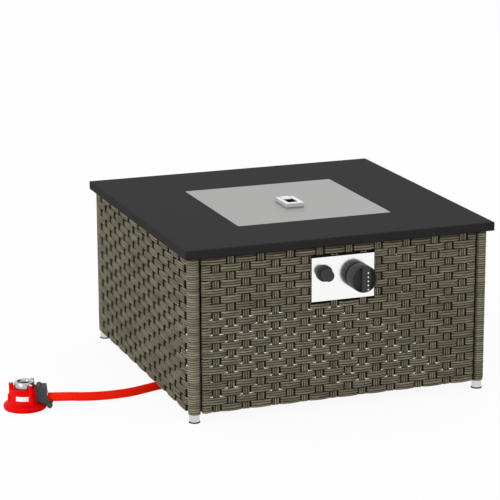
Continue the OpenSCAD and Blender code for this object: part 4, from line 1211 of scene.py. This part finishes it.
@dataclass
class Dressing:
    """The finishes of the nodes that show as they were packed."""

    nodes: dict[Finish, tuple[str, ...]] = field(
        default_factory=lambda: {
            Finish.POWDER_COAT: ("tabletop",),
            Finish.PAN_ENAMEL: ("burner_pan",),
            Finish.FRAME_PAINT: ("left_frame", "right_frame", "front_frame", "back_frame"),
            Finish.BRUSHED: ("burner_lid",),
            Finish.BURNER_STEEL: ("burner", "pilot_bracket"),
            Finish.BRIGHT: ("feet", "regulator_screws"),
            Finish.HANDLE_STEEL: ("lid_handle_base", "lid_handle_ring"),
            Finish.SOCKET_STEEL: ("regulator_socket",),
            Finish.ZINC: (
                "tabletop_screws", "pan_nuts", "burner_bolts", "panel_bolts", "plate_nuts",
                "box_screws", "valve_nut", "valve_spring_seat", "hose_clamps", "lid_handle_pin",
                "lid_handle_screws", "valve_spindle",
            ),
            Finish.PLATE_STEEL: ("control_plate",),
            Finish.BOX_PAINT: ("control_box",),
            Finish.BLACK_PLASTIC: (
                "igniter_body", "igniter_button", "igniter_nut", "control_knob", "foot_plugs",
            ),
            Finish.DARK_PLASTIC: ("regulator_lever", "regulator_lever_pin"),
            Finish.PAD_PLASTIC: ("foot_pads",),
            Finish.BRASS: (
                "gas_jet", "pipe_nut", "hose_fitting", "regulator_nozzle", "regulator_plunger",
            ),
            Finish.VALVE_BRASS: ("gas_valve",),
            Finish.ALLOY_PIPE: ("gas_pipe",),
            Finish.COPPER: ("thermocouple", "thermocouple_lead"),
            Finish.CERAMIC: ("spark_electrode",),
            Finish.LEAD_SKIN: ("ignition_lead",),
            Finish.CELL: ("igniter_battery",),
            Finish.REG_RED: ("regulator_body", "regulator_cover"),
            Finish.SEAL_RUBBER: ("regulator_seal",),
        }
    )
    weld_reach: float = 0.00001
    sharp: float = 40.0
    rounding: int = 2
    edges: dict[str, float] = field(
        default_factory=lambda: {
            "lid_handle_ring": 1.2, "lid_handle_base": 0.8, "burner_lid": 0.4, "control_knob": 0.8,
            "igniter_body": 0.7, "igniter_button": 0.8, "control_plate": 0.4, "regulator_lever": 1.2,
            "regulator_lever_pin": 0.6, "regulator_body": 0.8, "regulator_cover": 0.8,
            "regulator_socket": 0.4, "regulator_screws": 0.5, "feet": 0.6, "foot_pads": 0.4,
        }
    )

    def soften(self, piece: Piece, width: float) -> None:
        """Rounds a node's sharp edges as they show, and leaves its mesh as it was packed.

        Args:
            piece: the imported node.
            width: how far the rounding reaches from an edge, in millimetres.
        """
        weld = piece.modifiers.new("weld", "WELD")
        weld.merge_threshold = self.weld_reach
        bevel = piece.modifiers.new("soft_edges", "BEVEL")
        bevel.width = width * MM
        bevel.segments = self.rounding
        bevel.limit_method = "ANGLE"
        bevel.angle_limit = math.radians(self.sharp)

    def dress(self, objects: dict[str, Piece]) -> None:
        """Puts its finish on every node.

        Args:
            objects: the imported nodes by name.
        """
        for finish, names in self.nodes.items():
            for name in names:
                put_finish(objects[name], finish)
        for name, width in self.edges.items():
            self.soften(objects[name], width)
        LOG.info("dressed %d packed nodes", sum(len(names) for names in self.nodes.values()))


@dataclass
class Studio:
    """The camera, the white floor and the soft light."""

    eye: tuple[float, float, float] = (-1683.2, -4337.2, 1471.2)
    azimuth: float = -20.28
    elevation: float = 14.57
    roll: float = -0.227
    lens: float = 154.0
    sensor: float = 36.0
    far: float = 100.0
    sky: float = 0.84
    floor_size: float = 14.0
    floor_drop: float = 0.0002
    floor_grey: float = 0.86
    floor_light: float = 0.93
    lit_height: float = 0.2
    lamps: tuple[tuple[str, tuple[float, float, float], float, float], ...] = (
        ("key_lamp", (-4.2, -1.5, 2.4), 2.6, 53.0),
        ("back_lamp", (1.5, 3.0, 3.4), 2.6, 16.0),
        ("low_lamp", (-2.4, -1.4, 0.5), 1.2, 7.5),
    )

    def set_camera(self) -> None:
        """Places the camera at the photo's viewing angle."""
        bpy.ops.object.camera_add()
        camera = bpy.context.object
        camera.name = "photo_camera"
        camera.data.lens = self.lens
        camera.data.sensor_width = self.sensor
        camera.data.clip_end = self.far
        camera.matrix_world = Matrix.Translation(at(*self.eye))
        for angle, axis in ((self.azimuth, "Z"), (90.0 - self.elevation, "X"), (self.roll, "Z")):
            camera.matrix_world @= Matrix.Rotation(math.radians(angle), 4, axis)
        bpy.context.scene.camera = camera

    def seen(self, sheet: Sheet) -> Socket:
        """Gives one where the camera sees the backdrop, also in metal or through glass."""
        ray = sheet.add("ShaderNodeLightPath").outputs
        direct = sheet.math("MAXIMUM", ray["Is Camera Ray"], ray["Is Glossy Ray"])
        return sheet.math("MAXIMUM", direct, ray["Is Transmission Ray"])

    def lay_floor(self) -> None:
        """Lays a floor that shows white and keeps a faint shadow."""
        bpy.ops.object.select_all(action="DESELECT")
        bpy.ops.mesh.primitive_plane_add(size=self.floor_size, location=(0.0, 0.0, -self.floor_drop))
        floor = bpy.context.object
        floor.name = "studio_floor"
        material = bpy.data.materials.new("studio_floor")
        material.use_nodes = True
        sheet = Sheet(material.node_tree)
        share = sheet.math("MULTIPLY", self.seen(sheet), self.floor_light)
        grey = (self.floor_grey, self.floor_grey, self.floor_grey, 1.0)
        matt = sheet.add("ShaderNodeBsdfDiffuse", {"Color": grey}).outputs[0]
        glow = sheet.add("ShaderNodeEmission", {"Color": WHITE, "Strength": 1.0}).outputs[0]
        mix = sheet.add("ShaderNodeMixShader", {0: share, 1: matt, 2: glow})
        sheet.add("ShaderNodeOutputMaterial", {"Surface": mix.outputs[0]})
        floor.data.materials.append(material)

    def light(self) -> None:
        """Sets a plain white sky and the wide soft lamps."""
        world = bpy.data.worlds.new("studio_sky")
        bpy.context.scene.world = world
        world.use_nodes = True
        sheet = Sheet(world.node_tree)
        lit = sheet.add("ShaderNodeBackground", {"Color": WHITE, "Strength": self.sky}).outputs[0]
        white = sheet.add("ShaderNodeBackground", {"Color": WHITE, "Strength": 1.0}).outputs[0]
        mix = sheet.add("ShaderNodeMixShader", {0: self.seen(sheet), 1: lit, 2: white})
        sheet.add("ShaderNodeOutputWorld", {"Surface": mix.outputs[0]})
        aim = Vector((0.0, 0.0, self.lit_height))
        for name, spot, size, power in self.lamps:
            place = Vector(spot)
            bpy.ops.object.light_add(type="AREA", location=place)
            lamp = bpy.context.object
            lamp.name = name
            lamp.data.size = size
            lamp.data.energy = power
            lamp.rotation_euler = (aim - place).to_track_quat("-Z", "Y").to_euler()

    def set_view(self) -> None:
        """Shows colours as they are written."""
        bpy.context.scene.view_settings.view_transform = "Standard"


def main() -> None:
    """Builds the table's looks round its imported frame."""
    logging.basicConfig(level=logging.INFO, format="%(name)s %(message)s")
    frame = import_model()
    studio = Studio()
    studio.set_view()
    studio.set_camera()
    GasHose().build()
    WovenBody().build()
    for trim in (KnobMarks(), RegulatorLabel(), HandleWell()):
        trim.build()
    ReturnSpring(
        "igniter_return_spring", "igniter_spring", "igniter_press",
        middle=(-41.0, 298.0), radius=7.15, back=-331.0, travel=4.0,
    ).build()
    ReturnSpring(
        "valve_return_spring", "valve_spring", "knob_push",
        middle=(37.0, 285.0), radius=4.75, back=-325.0, travel=3.0,
    ).build()
    Dressing().dress(frame["nodes"])
    studio.lay_floor()
    studio.light()


if __name__ == "__main__":
    main()
